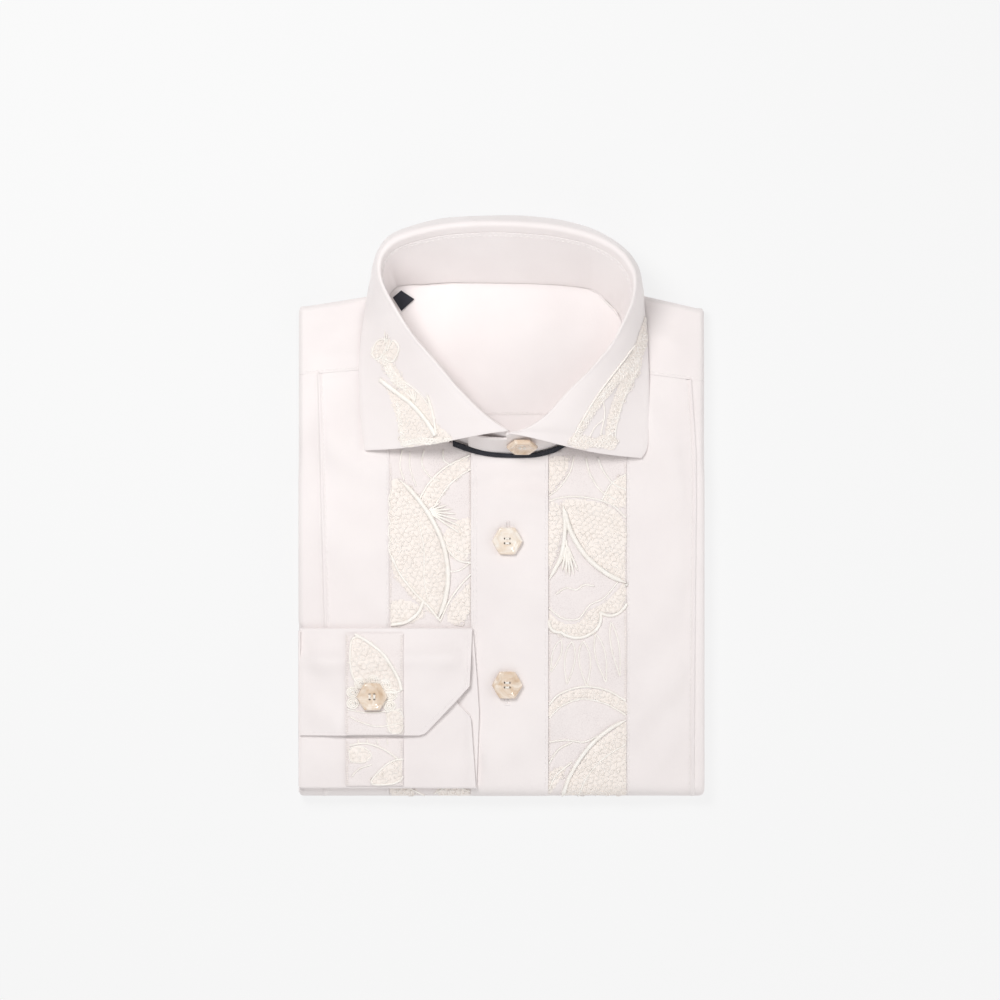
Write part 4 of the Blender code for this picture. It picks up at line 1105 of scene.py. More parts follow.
def ladder(threads, tree, path, breadth, spacing, thin):
    """Short bars across a narrow band of lace."""
    path = np.asarray(path, float)
    along = np.gradient(path, axis=0)
    run = run_along(path)
    for at in np.arange(spacing, run[-1], spacing):
        x, y = places_at(path, run, at)
        tx, ty = places_at(along, run, at)
        size = math.hypot(tx, ty)
        nx, ny = -ty / size * breadth / 2, tx / size * breadth / 2
        threads.laid(tree, [(x - nx, y - ny), (x + nx, y + ny)], thin, lift=0.3, step=1.2, sides=5)


def px(x, y):
    """A place on the shirt in mm from a place in the 1000 by 1000 picture."""
    return (x - PICTURE_ORIGIN[0]) / PIXELS_PER_MM, (PICTURE_ORIGIN[1] - y) / PIXELS_PER_MM


def pxs(*pairs):
    return [px(*pair) for pair in pairs]


# Build the cloth

neck_cutter = make_neck_cutter()
half_gap = SEAM_CLOSE / 2
front_left = panel("front_left_cloth", -1, LACE_LEFT_X[0] - half_gap, LEFT_TUCK)
front_right = panel("front_right_cloth", 1, LACE_RIGHT_X[1] + half_gap, RIGHT_TUCK)
lace_left = strip("lace_left_net", LACE_LEFT_X[0] + half_gap, LACE_LEFT_X[1] - half_gap, NET, SHELL)
lace_right = strip("lace_right_net", LACE_RIGHT_X[0] + half_gap, LACE_RIGHT_X[1] - half_gap, NET, SHELL)
placket = strip("placket_cloth", LACE_LEFT_X[1] - PLACKET_LAP, LACE_RIGHT_X[0] + PLACKET_LAP, COTTON,
                PLACKET_SHELL, PLACKET_RAISE)
yoke = make_yoke()
for obj in (front_right, lace_left, lace_right, placket, yoke):
    cut_with(obj, neck_cutter)
for obj in (front_left, front_right, lace_left, lace_right, placket, yoke):
    bake(obj)
bpy.data.objects.remove(neck_cutter)
yoke_inside = bake(inner_sheet("yoke_inside_cloth", YOKE_BACK_SEAM_Y + half_gap, 200.0, 40))
back_upper = bake(inner_sheet("back_upper_cloth", BACK_UPPER_LOW_Y, YOKE_BACK_SEAM_Y - half_gap, 20))
back_lower = bake(make_back_lower())
leaf = bake(make_leaf())
stand, stand_rows = make_stand()
bake(stand)
cuff = bake(make_cuff())
lace_over = bake(cuff_patch("cuff_lace_over_net", np.linspace(*LACE_OVER_Y, 40), True))
lace_under = bake(cuff_patch("cuff_lace_under_net", np.linspace(*LACE_UNDER_Y, 20), False))
sleeve = bake(make_sleeve())
tape = bake(make_tape())
size_tab = bake(make_size_tab())

tree_left, tree_right = tree_of(front_left), tree_of(front_right)
tree_placket, tree_yoke = tree_of(placket), tree_of(yoke)
tree_leaf, tree_cuff = tree_of(leaf), tree_of(cuff)
tree_back = tree_of(yoke_inside)


# Lace motifs: leaves filled with scales, satin cords, fans and scallops

def cord_line(threads, tree, points, width, twist=0.13, taper=0.0, smooth=True):
    """A slightly twisted cord along a smooth path through the points."""
    path = smooth_path(points) if smooth else points
    threads.laid(tree, path, width, width * 0.8, lift=width * 0.5, step=0.4, twist=twist, taper=taper)


class Lace:
    """Cords, scale stitches and grounds on one piece, at places in the 1000 by 1000 picture."""

    def __init__(self, name, tree):
        self.name = name
        self.tree = tree
        self.cords = Threads()
        self.fills = Threads()
        self.ground = ([], [])

    def fill(self, *places, cell=0.9, raised=0.14, **style):
        """A ground with scale stitches and no cord round it."""
        outline = smooth_path(pxs(*places), closed=True)
        patch(self.tree, outline, cell, raised, self.ground)
        scales(self.fills, self.tree, outline, **style)
        return outline

    def leaf(self, width, *places, turn=0.0):
        """A filled outline with a cord round it."""
        outline = self.fill(*places, turn=turn)
        self.cords.laid(self.tree, np.vstack([outline, outline[:1]]), width, width * 0.75, lift=width * 0.5,
                        step=0.42, twist=0.13)

    def cord(self, width, *places, **style):
        cord_line(self.cords, self.tree, pxs(*places), width, **style)

    def scallops(self, width, bulge, *places):
        """A row of round lobes from one place to the next."""
        points = pxs(*places)
        line = []
        for (x0, y0), (x1, y1) in zip(points, points[1:]):
            nx, ny = -(y1 - y0), x1 - x0
            size = math.hypot(nx, ny)
            for t in np.linspace(0, 1, 12)[:-1]:
                out = bulge * math.sin(math.pi * t) ** 0.7 / size
                line.append((x0 + (x1 - x0) * t + nx * out, y0 + (y1 - y0) * t + ny * out))
        line.append(points[-1])
        cord_line(self.cords, self.tree, line, width, smooth=False)

    def braid(self, threads, strands, width, wave, breadths, *places):
        """Strands that weave from side to side along a band."""
        path = smooth_path(pxs(*places))
        run = run_along(path)
        along = np.gradient(path, axis=0)
        along /= np.maximum(1e-9, np.linalg.norm(along, axis=1, keepdims=True))
        aside = np.stack([-along[:, 1], along[:, 0]], axis=1)
        half = np.interp(run, np.linspace(0, run[-1], len(breadths)), breadths)
        for strand in range(strands):
            swing = np.sin(2 * math.pi * (run / wave + strand / strands)) * half
            swing = swing + 0.15 * np.sin(run * 3.7 + strand)
            cord_line(threads, self.tree, path + aside * swing[:, None], width, twist=0.22, smooth=False)

    def petal(self, breadth, root, tip):
        """A long loop of thread from its root to its tip and back."""
        root, tip = vec(*px(*root)), vec(*px(*tip))
        run = tip - root
        aside = vec(-run[1], run[0]) / max(1e-6, float(np.hypot(*run)))
        line = []
        for side, shares in ((-1, np.linspace(0, 1, 9)), (1, np.linspace(1, 0, 9)[1:])):
            for t in shares:
                line.append(root + run * t + aside * side * breadth * math.sin(math.pi * t ** 0.8))
        cord_line(self.cords, self.tree, line, 0.42)

    def fan(self, width, foot, *tips):
        """Satin stitches spreading from one foot."""
        for tip in tips:
            self.cords.laid(self.tree, pxs(foot, tip), width, width * 0.7, lift=0.5, step=0.8, taper=3.0)

    def edge_bars(self, edges, y_high, y_low, breadth, thin):
        """Short bars along both edges of a strip, just inside them."""
        for x in (edges[0] + 0.9, edges[1] - 0.9):
            ladder(self.fills, self.tree, [(x, y_high), (x, y_low)], breadth, 1.3, thin)

    def made(self):
        pieces = [self.cords.made(f"{self.name}_cords", CORD)]
        pieces.append(self.fills.made(f"{self.name}_fill", SCALE_THREAD))
        verts, faces = self.ground
        if faces:
            uvs = [(v[0] * MM, v[1] * MM) for v in verts]
            pieces.append(mesh_object(f"{self.name}_ground", verts, faces, GROUND, uvs))
        return pieces


def dress_lace_left():
    """Leaves, a slanting band and a fan on the strip left of the placket."""
    lace = Lace("lace_left", tree_of(lace_left))
    # A broad leaf that fills the left of the strip, held by a heavy satin cord
    lace.fill((391, 486), (402, 482), (420, 498), (438, 526), (446, 556), (446, 588), (437, 614), (422, 606),
              (406, 590), (392, 566), turn=0.15)
    lace.cord(1.44, (400, 480), (414, 494), (430, 516), (443, 544), (448, 574), (445, 600), (438, 620),
              taper=8.0)
    lace.cord(0.75, (391, 555), (400, 574), (414, 592), (428, 606), (440, 621))
    lace.cord(0.41, (418, 520), (424, 548), (424, 578), (428, 600))
    # A slanting band that climbs to the placket
    lace.fill((420, 503), (430, 484), (446, 469), (466, 458), (470, 466), (456, 478), (444, 490), (434, 506),
              turn=0.8)
    lace.cord(0.65, (418, 502), (429, 483), (446, 467), (470, 455))
    lace.cord(0.55, (434, 507), (446, 489), (458, 477), (471, 469))
    # Satin fan and the small leaf beside it
    lace.fan(0.6, (427, 511), (441, 502), (447, 505), (452, 509), (456, 514), (459, 520), (461, 527),
             (461, 534))
    lace.fill((444, 538), (450, 526), (462, 519), (471, 520), (471, 548), (464, 560), (452, 556), turn=-0.4)
    lace.cord(0.6, (440, 530), (447, 548), (458, 560), (471, 563))
    lace.scallops(0.4, -1.0, (444, 536), (452, 546), (462, 552), (471, 552))
    # Curled stem with its two leaflets at the bottom
    lace.fill((448, 621), (452, 602), (464, 588), (471, 584), (471, 606), (463, 622))
    lace.cord(0.6, (440, 622), (449, 602), (460, 586), (471, 574))
    lace.fill((391, 604), (402, 600), (416, 604), (424, 614), (412, 622), (391, 624))
    lace.cord(1.1, (391, 625), (406, 622), (418, 613), (424, 600))
    # Thin arcs on the open net
    lace.cord(0.5, (424, 450), (422, 464), (430, 477), (440, 481))
    lace.cord(0.5, (443, 450), (444, 460), (452, 466))
    lace.cord(0.5, (402, 450), (400, 466), (404, 480))
    lace.cord(0.41, (410, 452), (410, 468), (416, 486))
    lace.cord(0.47, (449, 572), (460, 570), (471, 562))
    lace.scallops(0.5, -0.9, (391, 492), (390.5, 508), (390.5, 524), (390.5, 540), (391, 556))
    # Below the cuff, where the strip turns under
    lace.fill((390, 789), (402, 785), (414, 790), (411, 797), (394, 797))
    lace.fill((436, 790), (450, 786), (469, 790), (466, 797), (442, 797))
    lace.cord(0.5, (390, 788), (402, 785), (415, 791), (424, 796))
    lace.cord(0.5, (434, 794), (450, 786), (470, 791))
    lace.edge_bars(LACE_LEFT_X, OPEN_FRONT_Y, -64, 1.2, 0.16)
    return lace.made()


def dress_lace_right():
    """Leaves, a scalloped flower with long petals and an arch on the strip right of the placket."""
    lace = Lace("lace_right", tree_of(lace_right))
    # Broad leaf that fills the right of the strip
    lace.fill((562, 503), (584, 500), (610, 507), (625, 524), (625, 556), (624, 580), (606, 570), (588, 558),
              (573, 538), turn=-0.25)
    lace.cord(0.5, (549, 501), (566, 497), (590, 498), (612, 505), (626, 518))
    lace.cord(1.5, (563, 506), (571, 532), (586, 556), (606, 573), (626, 583), taper=6.0)
    lace.cord(1.25, (563, 506), (565, 528), (561, 556), (549, 580), taper=6.0)
    lace.fill((549, 508), (559, 506), (562, 528), (557, 550), (549, 568), turn=0.1)
    # Fan of satin stitches between the two cords
    lace.fan(0.7, (567, 545), (559, 566), (562, 571), (566, 575), (570, 576), (574, 575), (578, 571))
    lace.cord(0.8, (566, 540), (567, 552), smooth=False)
    lace.cord(0.5, (556, 594), (566, 588), (576, 590), (584, 585), (594, 586))
    # Scalloped flower edge
    lace.fill((549, 612), (560, 622), (578, 623), (590, 610), (604, 603), (616, 592), (624, 584), (626, 596),
              (618, 612), (602, 614), (596, 628), (582, 636), (562, 636), (549, 628), pitch=2.9, drop_row=2.3,
              radius=1.5)
    lace.scallops(0.95, -2.6, (549, 620), (561, 632), (590, 634), (600, 612), (622, 610), (626, 584))
    lace.cord(0.47, (549, 608), (562, 618), (578, 619), (590, 605), (604, 598), (618, 582))
    # Long petals hanging from it
    for breadth, root, tip in ((2.3, (561, 640), (551, 672)), (2.8, (572, 641), (567, 684)),
                               (3.2, (583, 641), (587, 686)), (2.8, (596, 634), (606, 682)),
                               (2.2, (611, 622), (620, 676))):
        lace.petal(breadth, root, tip)
    # Arch band
    lace.fill((549, 708), (560, 696), (582, 689), (606, 692), (626, 703), (626, 713), (606, 703), (582, 698),
              (562, 705), (549, 717), pitch=2.6, drop_row=2.1, radius=1.3)
    lace.cord(0.6, (549, 705), (560, 694), (582, 687), (606, 690), (626, 701))
    lace.cord(0.5, (549, 718), (562, 706), (582, 699), (606, 704), (626, 715))
    # Lower leaf with its heavy rib
    lace.fill((566, 797), (574, 774), (592, 748), (612, 732), (626, 724), (626, 797), turn=0.4)
    lace.cord(1.2, (562, 797), (572, 772), (590, 746), (610, 729), (626, 720), taper=5.0)
    lace.cord(0.47, (578, 797), (588, 776), (604, 758), (626, 744))
    lace.cord(0.5, (549, 742), (566, 740), (584, 742), (598, 736))
    lace.cord(0.5, (549, 764), (558, 750), (572, 742))
    lace.cord(0.5, (549, 790), (556, 776), (572, 762))
    lace.fill((549, 776), (557, 768), (566, 768), (560, 780), (549, 794))
    # Under the collar
    lace.cord(0.5, (574, 456), (570, 472), (559, 488), (549, 496))
    lace.cord(0.5, (586, 458), (590, 474), (600, 490), (616, 500))
    lace.cord(0.53, (598, 458), (604, 472), (614, 484), (626, 490))
    lace.fill((549, 460), (568, 458), (566, 472), (556, 486), (549, 490))
    lace.fill((604, 500), (612, 484), (626, 476), (626, 506))
    lace.cord(0.5, (602, 500), (611, 484), (626, 474))
    lace.edge_bars(LACE_RIGHT_X, OPEN_FRONT_Y, -158, 1.2, 0.16)
    return lace.made()


def dress_collar_left():
    """Lace sewn on the left leaf, with no net round it: a stem with a bud and a leaf."""
    lace = Lace("collar_lace_left", tree_leaf)
    for outline in (
            ((386, 383), (398, 392), (411, 388), (428, 404), (437, 424), (449, 434), (452, 443), (430, 446),
             (404, 447), (399, 424), (392, 402)),
            ((372, 352), (376, 344), (386, 340), (397, 345), (398, 355), (390, 364), (379, 363)),
            ((384, 364), (392, 362), (402, 376), (408, 388), (398, 388), (389, 376))):
        lace.fill(*outline, cell=0.8, raised=0.2, pitch=2.7, drop_row=2.1, radius=1.4, lift=0.4)
    lace.cord(1.45, (381, 380), (395, 391), (412, 404), (427, 421), (436, 436))
    lace.cord(0.8, (428, 396), (433, 412), (437, 436))
    lace.cord(0.4, (399, 425), (402, 438), (404, 446))
    lace.cord(0.55, (404, 446), (420, 443), (436, 445), (451, 443))
    lace.cord(0.55, (372, 354), (378, 342), (388, 341), (386, 352), (378, 360), (372, 354))
    lace.cord(0.55, (388, 352), (394, 342), (400, 350), (394, 362), (386, 360))
    lace.fan(0.5, (386, 345), (386, 332), (389, 334), (391, 338))
    lace.fan(0.55, (416, 402), (405, 391), (409, 389), (413, 390), (417, 392))
    lace.cord(0.45, (390, 366), (400, 379), (414, 389), (428, 404), (436, 420))
    lace.braid(lace.cords, 3, 0.45, 6.0, (1.8, 1.6, 2.0, 1.4), (384, 352), (388, 368), (396, 380), (408, 390))
    lace.braid(lace.cords, 2, 0.4, 5.0, (0.8, 1.2, 1.4), (398, 402), (401, 424), (404, 444))
    lace.braid(lace.cords, 3, 0.42, 5.5, (1.2, 2.0, 1.8, 1.2), (404, 444), (422, 441), (438, 443), (452, 440))
    return lace.made()


def dress_collar_right():
    """Lace sewn on the right leaf: two arms that run down to a foot along the edge."""
    lace = Lace("collar_lace_right", tree_leaf)
    for outline in (
            ((645, 318), (648, 334), (642, 352), (632, 368), (618, 382), (603, 402), (588, 420), (578, 436),
             (574, 434), (586, 412), (602, 390), (618, 370), (632, 350)),
            ((638, 356), (641, 366), (632, 384), (622, 404), (616, 424), (611, 438), (605, 436), (608, 414),
             (616, 390), (626, 370)),
            ((568, 442), (578, 435), (592, 439), (604, 435), (616, 439), (613, 450), (596, 447), (578, 450))):
        lace.fill(*outline, cell=0.7, raised=0.2, pitch=2.2, drop_row=1.7, radius=1.15, turn=0.9, lift=0.4)
    # These braids use the darker scale thread, not cord as on the left leaf: painted shade for the shadow
    # they lie in.
    lace.braid(lace.fills, 3, 0.4, 7.0, (0.8, 2.4, 3.2, 2.4, 1.6, 1.5), (645, 317), (644, 340), (634, 360),
               (614, 382), (596, 406), (580, 432), (570, 442))
    lace.braid(lace.fills, 2, 0.4, 6.0, (1.4, 2.2, 1.8, 1.6), (638, 358), (632, 378), (620, 402), (613, 424),
               (609, 440))
    lace.braid(lace.fills, 3, 0.4, 7.0, (1.2, 2.6, 2.2, 2.4), (568, 443), (582, 440), (598, 444), (614, 442))
    lace.cord(0.4, (646, 316), (648, 336), (640, 356), (628, 374))
    lace.cord(0.5, (634, 346), (616, 370), (598, 394), (582, 420), (572, 440))
    lace.cord(0.45, (640, 364), (626, 392), (617, 420), (614, 440))
    lace.cord(0.4, (601, 398), (604, 414), (600, 436))
    lace.cord(0.4, (590, 418), (596, 404), (607, 390), (617, 380))
    lace.cord(0.35, (588, 440), (594, 428), (603, 420))
    return lace.made()


def dress_cuff_over():
    """A leaf, a ring of seven round petals behind the button, and thin cords."""
    lace = Lace("cuff_lace_over", tree_of(lace_over))
    lace.leaf(0.6, (352, 640), (366, 640), (384, 656), (397, 677), (401, 690), (380, 692), (364, 688),
              (352, 672), turn=0.2)
    lace.cord(0.95, (355, 634), (370, 643), (386, 657), (398, 677), (402, 690))
    for petal in range(7):
        angle = math.radians(200 - petal * 38)
        centre = vec(*px(372 + 20 * math.cos(angle), 697 - 17 * math.sin(angle)))
        turns = np.linspace(0, 2 * math.pi, 7)[:-1]
        corners = [centre + vec(3.2 * math.cos(turn), 2.8 * math.sin(turn)) for turn in turns]
        outline = smooth_path(corners, closed=True)
        patch(lace.tree, outline, 0.7, 0.3, lace.ground)
        for size in (1.0, 0.66, 0.34):
            ring = centre + (outline - centre) * size
            lace.cords.laid(lace.tree, np.vstack([ring, ring[:1]]), 0.5, 0.45, lift=0.2 + 0.45 * (1 - size),
                            step=0.4, twist=0.13)
    lace.cord(0.4, (348, 709), (366, 712), (386, 711), (403, 708))
    lace.cord(0.42, (350, 716), (362, 722), (380, 726), (403, 722))
    lace.leaf(0.4, (388, 712), (402, 712), (402, 730), (390, 731))
    lace.edge_bars(CUFF_LACE_X, -71, -126.4, 1.3, 0.18)
    return lace.made()


def dress_cuff_under():
    """Two leaves and thin cords on the lower layer."""
    lace = Lace("cuff_lace_under", tree_of(lace_under))
    lace.cord(0.55, (350, 745), (366, 743), (384, 749), (400, 760))
    for x in (358, 367, 377, 387):
        lace.cord(0.4, (x, 739), (x + 1, 744), smooth=False)
    lace.leaf(0.55, (372, 783), (380, 770), (392, 761), (404, 760), (404, 774), (394, 783), turn=0.4)
    lace.leaf(0.4, (351, 748), (364, 747), (372, 756), (362, 762), (351, 760))
    lace.cord(0.42, (352, 776), (360, 768), (372, 764))
    lace.edge_bars(CUFF_LACE_X, -129.6, -154.8, 1.3, 0.18)
    return lace.made()


def stand_stitches(threads, share):
    """A row of stitches inside the collar stand, at a share of its height."""
    bands = stand_rows[INNER_SEAM_ROWS]
    inner = bands[:, :3] + (bands[:, 3:] - bands[:, :3]) * share
    normals = []
    for i, (point, band) in enumerate(zip(inner, bands)):
        rise = unit(band[3:] - band[:3])
        along = unit(inner[min(i + 1, len(inner) - 1)] - inner[max(i - 1, 0)])
        normal = unit(np.cross(along, rise))
        if normal[:2].dot(NECK_CENTRE - point[:2]) < 0:
            normal = -normal
        normals.append(normal)
    normals = np.array(normals)
    run = run_along(inner)
    pitch, length = 2.9, 2.0
    for at in np.arange(1.0, run[-1] - 3, pitch):
        span = np.linspace(at, at + length, 4)
        facing = places_at(normals, run, span)
        depth = vec(-0.12, 0.1, 0.1, -0.12)[:, None] + COLLAR_WALL / 2
        threads.tube(places_at(inner, run, span) + facing * depth, facing, 0.2, 0.16, sides=5)


def sewing_lines():
    """Seam stitches, one mesh for each piece they are sewn in."""
    made = {}

    def row(name, tree, path, width=0.2):
        made.setdefault(name, Threads()).stitches(tree, path, width)

    for x in (LACE_LEFT_X[1] + 1.0, LACE_LEFT_X[1] + 2.6, LACE_RIGHT_X[0] - 1.0):
        row("placket", tree_placket, [(x, OPEN_FRONT_Y), (x, STITCH_END_Y)])
    for name, tree, x in (("front_left", tree_left, LACE_LEFT_X[0] - 1.1),
                          ("front_right", tree_right, LACE_RIGHT_X[1] + 1.1)):
        row(name, tree, [(x, YOKE_STITCH_Y), (x, STITCH_END_Y)])
    for name, tree, tuck, aside in (("front_left", tree_left, LEFT_TUCK, 2.0),
                                    ("front_right", tree_right, RIGHT_TUCK, -2.0)):
        ys = np.linspace(YOKE_STITCH_Y - 1, STITCH_END_Y, 60)
        row(name, tree, [(float(table_at(tuck, y)) + aside, y) for y in ys], 0.16)
    row("yoke", tree_yoke, [(x, float(table_at(YOKE_SEAM, x)) + 1.5) for x in np.linspace(-109, 109, 120)])
    row("yoke_inside", tree_back, [(x, YOKE_BACK_SEAM_Y + 1.4) for x in np.linspace(-40, 46, 60)], 0.16)
    hem_y = OVERLAP_EDGE_Y + 1.9
    row("cuff", tree_cuff, [(x, hem_y) for x in np.linspace(CUFF_LEFT_X + 1, CUFF_LACE_X[0] - 1, 20)], 0.15)
    hem = [(x, hem_y) for x in np.linspace(CUFF_LACE_X[1] + 1, -46.8, 20)]
    row("cuff", tree_cuff, hem + [(-44.0, -124.2), (-19.4, -99.6), (-18.0, -71.0)], 0.15)
    # The stand's upper seam, seen from inside the neck
    made["collar_stand"] = Threads()
    for share in (0.93, 0.985):
        stand_stitches(made["collar_stand"], share)
    return {name: threads.made(f"{name}_stitches", SEWING) for name, threads in made.items()}


def make_neck_fold():
    """The turned seam across the back of the neck, thickest at its right end."""
    fold = Threads()
    thick = smooth_path(pxs((586, 288), (598, 292), (606, 301), (615, 310), (622, 322)))
    fold.laid(tree_back, thick, 0.8, 0.55, lift=0.1, sides=8, taper=6.0)
    thin = smooth_path(pxs((412, 286), (450, 283), (500, 282), (560, 284), (586, 288)))
    fold.laid(tree_back, thin, 0.35, 0.3, lift=0.05, step=0.8, taper=10.0)
    return fold.made("neck_seam_fold", INSIDE_COTTON_PAINTED_LIGHT)


def buttonhole(threads, y_low, y_high):
    """Close satin stitches round a slit in the placket."""
    for y in np.arange(y_low, y_high, 0.42):
        for side in (-1, 1):
            bar = [(BUTTON_X + side * 0.25, y), (BUTTON_X + side * 1.35, y)]
            threads.laid(tree_placket, bar, 0.24, lift=0.12, step=0.35, sides=5)
    for y in (y_low - 0.3, y_high + 0.3):
        threads.laid(tree_placket, [(BUTTON_X - 1.4, y), (BUTTON_X + 1.4, y)], 0.4, lift=0.15, step=0.4)


def make_buttonholes():
    near, far = BUTTONHOLE_ENDS
    threads = Threads()
    buttonhole(threads, BUTTON_YS[0] - near, BUTTON_YS[0] + far)
    buttonhole(threads, BUTTON_YS[1] - far, BUTTON_YS[1] + near)
    return threads.made("buttonhole_stitches", SEWING)


def linked_object(name, made, material):
    """An object from a bmesh, which is freed."""
    mesh = bpy.data.meshes.new(name)
    made.to_mesh(mesh)
    made.free()
    if material:
        mesh.materials.append(material)
    obj = bpy.data.objects.new(name, mesh)
    bpy.context.scene.collection.objects.link(obj)
    return obj


def button_body(name, material):
    """A six-sided shell with a rounded rim and a dish, lying on z = 0."""
    corner = BUTTON_FLATS / math.sqrt(3)
    body = bmesh.new()
    # Height and corner radius of each ring, from the underside to the floor of the dish
    rings = ((0.0, corner - 0.9), (0.35, corner - 0.25), (1.0, corner), (1.9, corner), (2.6, corner - 0.35),
             (BUTTON_THICK, corner - 1.1), (BUTTON_THICK - 0.02, corner - 1.9),
             (BUTTON_THICK - 0.55, corner - 2.7), (BUTTON_THICK - 0.85, corner - 3.6),
             (BUTTON_THICK - DISH_DEPTH, 3.4))
    loops = []
    for z, radius in rings:
        loop = []
        for k in range(BUTTON_STEPS):
            angle = 2 * math.pi * k / BUTTON_STEPS
            # Distance to the side of a six-sided outline, its corners softened
            turn = (angle % (math.pi / 3)) - math.pi / 6
            flat = radius * math.cos(math.pi / 6) / math.cos(turn)
            roundness = 0.12 if radius > 3.5 else 1.0
            size = flat * (1 - roundness) + radius * 0.93 * roundness
            loop.append(body.verts.new((size * math.cos(angle) * MM, size * math.sin(angle) * MM, z * MM)))
        loops.append(loop)
    for loop, after in zip(loops, loops[1:]):
        for k in range(BUTTON_STEPS):
            beside = (k + 1) % BUTTON_STEPS
            body.faces.new((loop[k], loop[beside], after[beside], after[k]))
    body.faces.new(loops[0][::-1])
    body.faces.new(loops[-1])
    obj = linked_object(name, body, material)
    obj.data.shade_smooth()
    return obj


def make_button(name, place, normal, material, thread_turn):
    """A shell button with four holes and its thread, set on its place."""
    obj = button_body(name, material)
    holes = bmesh.new()
    for x in (-HOLE_PLACE, HOLE_PLACE):
        for y in (-HOLE_PLACE, HOLE_PLACE):
            made = bmesh.ops.create_cone(holes, cap_ends=True, segments=20, radius1=HOLE_RADIUS * MM,
                                         radius2=HOLE_RADIUS * MM, depth=4 * BUTTON_THICK * MM)
            bmesh.ops.translate(holes, verts=made["verts"], vec=(x * MM, y * MM, 0))
    cutter = linked_object("holes", holes, None)
    cut_with(obj, cutter)
    bpy.context.view_layer.update()
    bake(obj)
    bpy.data.objects.remove(cutter)
    obj.data.set_sharp_from_angle(angle=math.radians(50))
    # Thread over the bridge between the holes, a few strands each way
    thread = Threads()
    low_z = BUTTON_THICK - DISH_DEPTH - 0.5
    for x in (-HOLE_PLACE, HOLE_PLACE):
        for strand in (-0.5, -0.17, 0.17, 0.5):
            ends = []
            for share in np.linspace(0, 1, 9):
                arch = math.sin(math.pi * share)
                y = HOLE_PLACE * (2 * share - 1)
                ends.append((x + strand * (1.2 - 0.5 * arch), y, low_z + 0.95 * arch ** 0.5))
            thread.tube(ends, [(0, 0, 1)] * 9, 0.21)
    sewn = thread.made(f"{name}_thread", BUTTON_THREAD)
    direction = unit(vec(*normal))
    across = vec(1, 0, 0)
    matrix = np.eye(4)
    for column, axis in enumerate((across, np.cross(direction, across), direction)):
        matrix[:3, column] = axis
    matrix[:3, 3] = vec(*place) * MM
    placed = Matrix([list(row) for row in matrix])
    obj.data.transform(placed)
    sewn.data.transform(placed @ Matrix.Rotation(math.radians(thread_turn), 4, "Z"))
    obj.data.update()
    sewn.data.update()
    return obj, sewn


def make_buttons():
    """Shell and thread of each button, by its node."""
    made = {}
    for name, y, material in (("button_upper", BUTTON_YS[0], PEARL), ("button_lower", BUTTON_YS[1], AMBER)):
        z = max(float(base_top_z(BUTTON_X + dx, y + dy)) for dx in (-8, 8) for dy in (-7, 7))
        z += PLACKET_RAISE + SEAM_GAP
        made[name] = make_button(f"{name}_shell", (BUTTON_X, y, z), (0, 0, 1), material, 90)
    z = float(base_top_z(*CUFF_BUTTON)) + CUFF_LAYERS[2] + CUFF_WALL / 2 + SEAM_GAP + CUFF_BUTTON_LIFT
    made["button_cuff"] = make_button("button_cuff_shell", (*CUFF_BUTTON, z), (0, 0, 1), AMBER, 0)
    # The collar button leans with the stand
    lean = unit(vec(0, STAND_LEAN[1], STAND_LEAN[2]))
    out = vec(0, -lean[2], lean[1])
    foot = vec(COLLAR_BUTTON[0], STAND_FRONT_Y, base_z(COLLAR_BUTTON[0], STAND_FRONT_Y))
    place = foot + lean * (COLLAR_BUTTON[1] - foot[2]) / lean[2] + out * (COLLAR_WALL / 2 + 0.4)
    made["button_collar"] = make_button("button_collar_shell", place, out, AMBER, 0)
    return made


# Plies that fill the fold: name, lowest and highest z, how many, half width, how much narrower every other
# one is, first y, how much each next one steps back from it, last y, rows, how much shorter on the left
PLY_GROUPS = (
    ("low", 1.85, 4.3, 4, ROLL_X - 0.6, 0.7, TAIL_HEM_Y - 0.5, 1.0, FOLD_Y, 40, 0.0),
    ("high", 9.2, 10.2, 3, ROLL_X - 1.0, 0.6, 60.0, 0.0, FOLD_Y, 50, 9.0),
    ("middle", 6.55, 7.4, 2, ROLL_X + 2.0, 0.5, TAIL_HEM_Y - 1.0, 1.0, FOLD_Y, 40, 0.0),
    ("back", 1.7, 7.0, 6, ROLL_X - 0.4, 0.6, 106.0, 0.0, THICK_TO_Y, 30, 0.0),
)


def make_core():
    """The hidden layers: folded plies with rounded edges, seen only at the sides."""
    made = bmesh.new()
    for name, low, high, count, half_width, narrower, first_y, step_back, last_y, rows, shorter in PLY_GROUPS:
        for index, z in enumerate(np.linspace(low, high, count)):
            reach = half_width - narrower * (index % 2)
            xs = np.linspace(-reach + shorter, reach, 12)
            grid = [[(x, y, z) for x in xs] for y in np.linspace(first_y - step_back * index, last_y, rows)]
            ply = bake(shell(f"ply_{name}_{index}", grid, PLY_SHELL, COTTON, rim=0.2, offset=0.0))
            made.from_mesh(ply.data)
            bpy.data.objects.remove(ply)
    return linked_object("folded_layers_plies", made, COTTON)


# Sew, fill and button it

lace_pieces = {
    "lace_left": dress_lace_left(),
    "lace_right": dress_lace_right(),
    "collar_lace_left": dress_collar_left(),
    "collar_lace_right": dress_collar_right(),
    "cuff_lace_over": dress_cuff_over(),
    "cuff_lace_under": dress_cuff_under(),
}
stitches = sewing_lines()
neck_crease = make_neck_fold()
buttonholes = make_buttonholes()
core = make_core()
buttons = make_buttons()


# Riding and replacing

def dress(name, pieces):
    """One piece stands for a node of the model, and all of them ride on the one body."""
    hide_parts(name)
    for piece in pieces:
        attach(piece, "root")


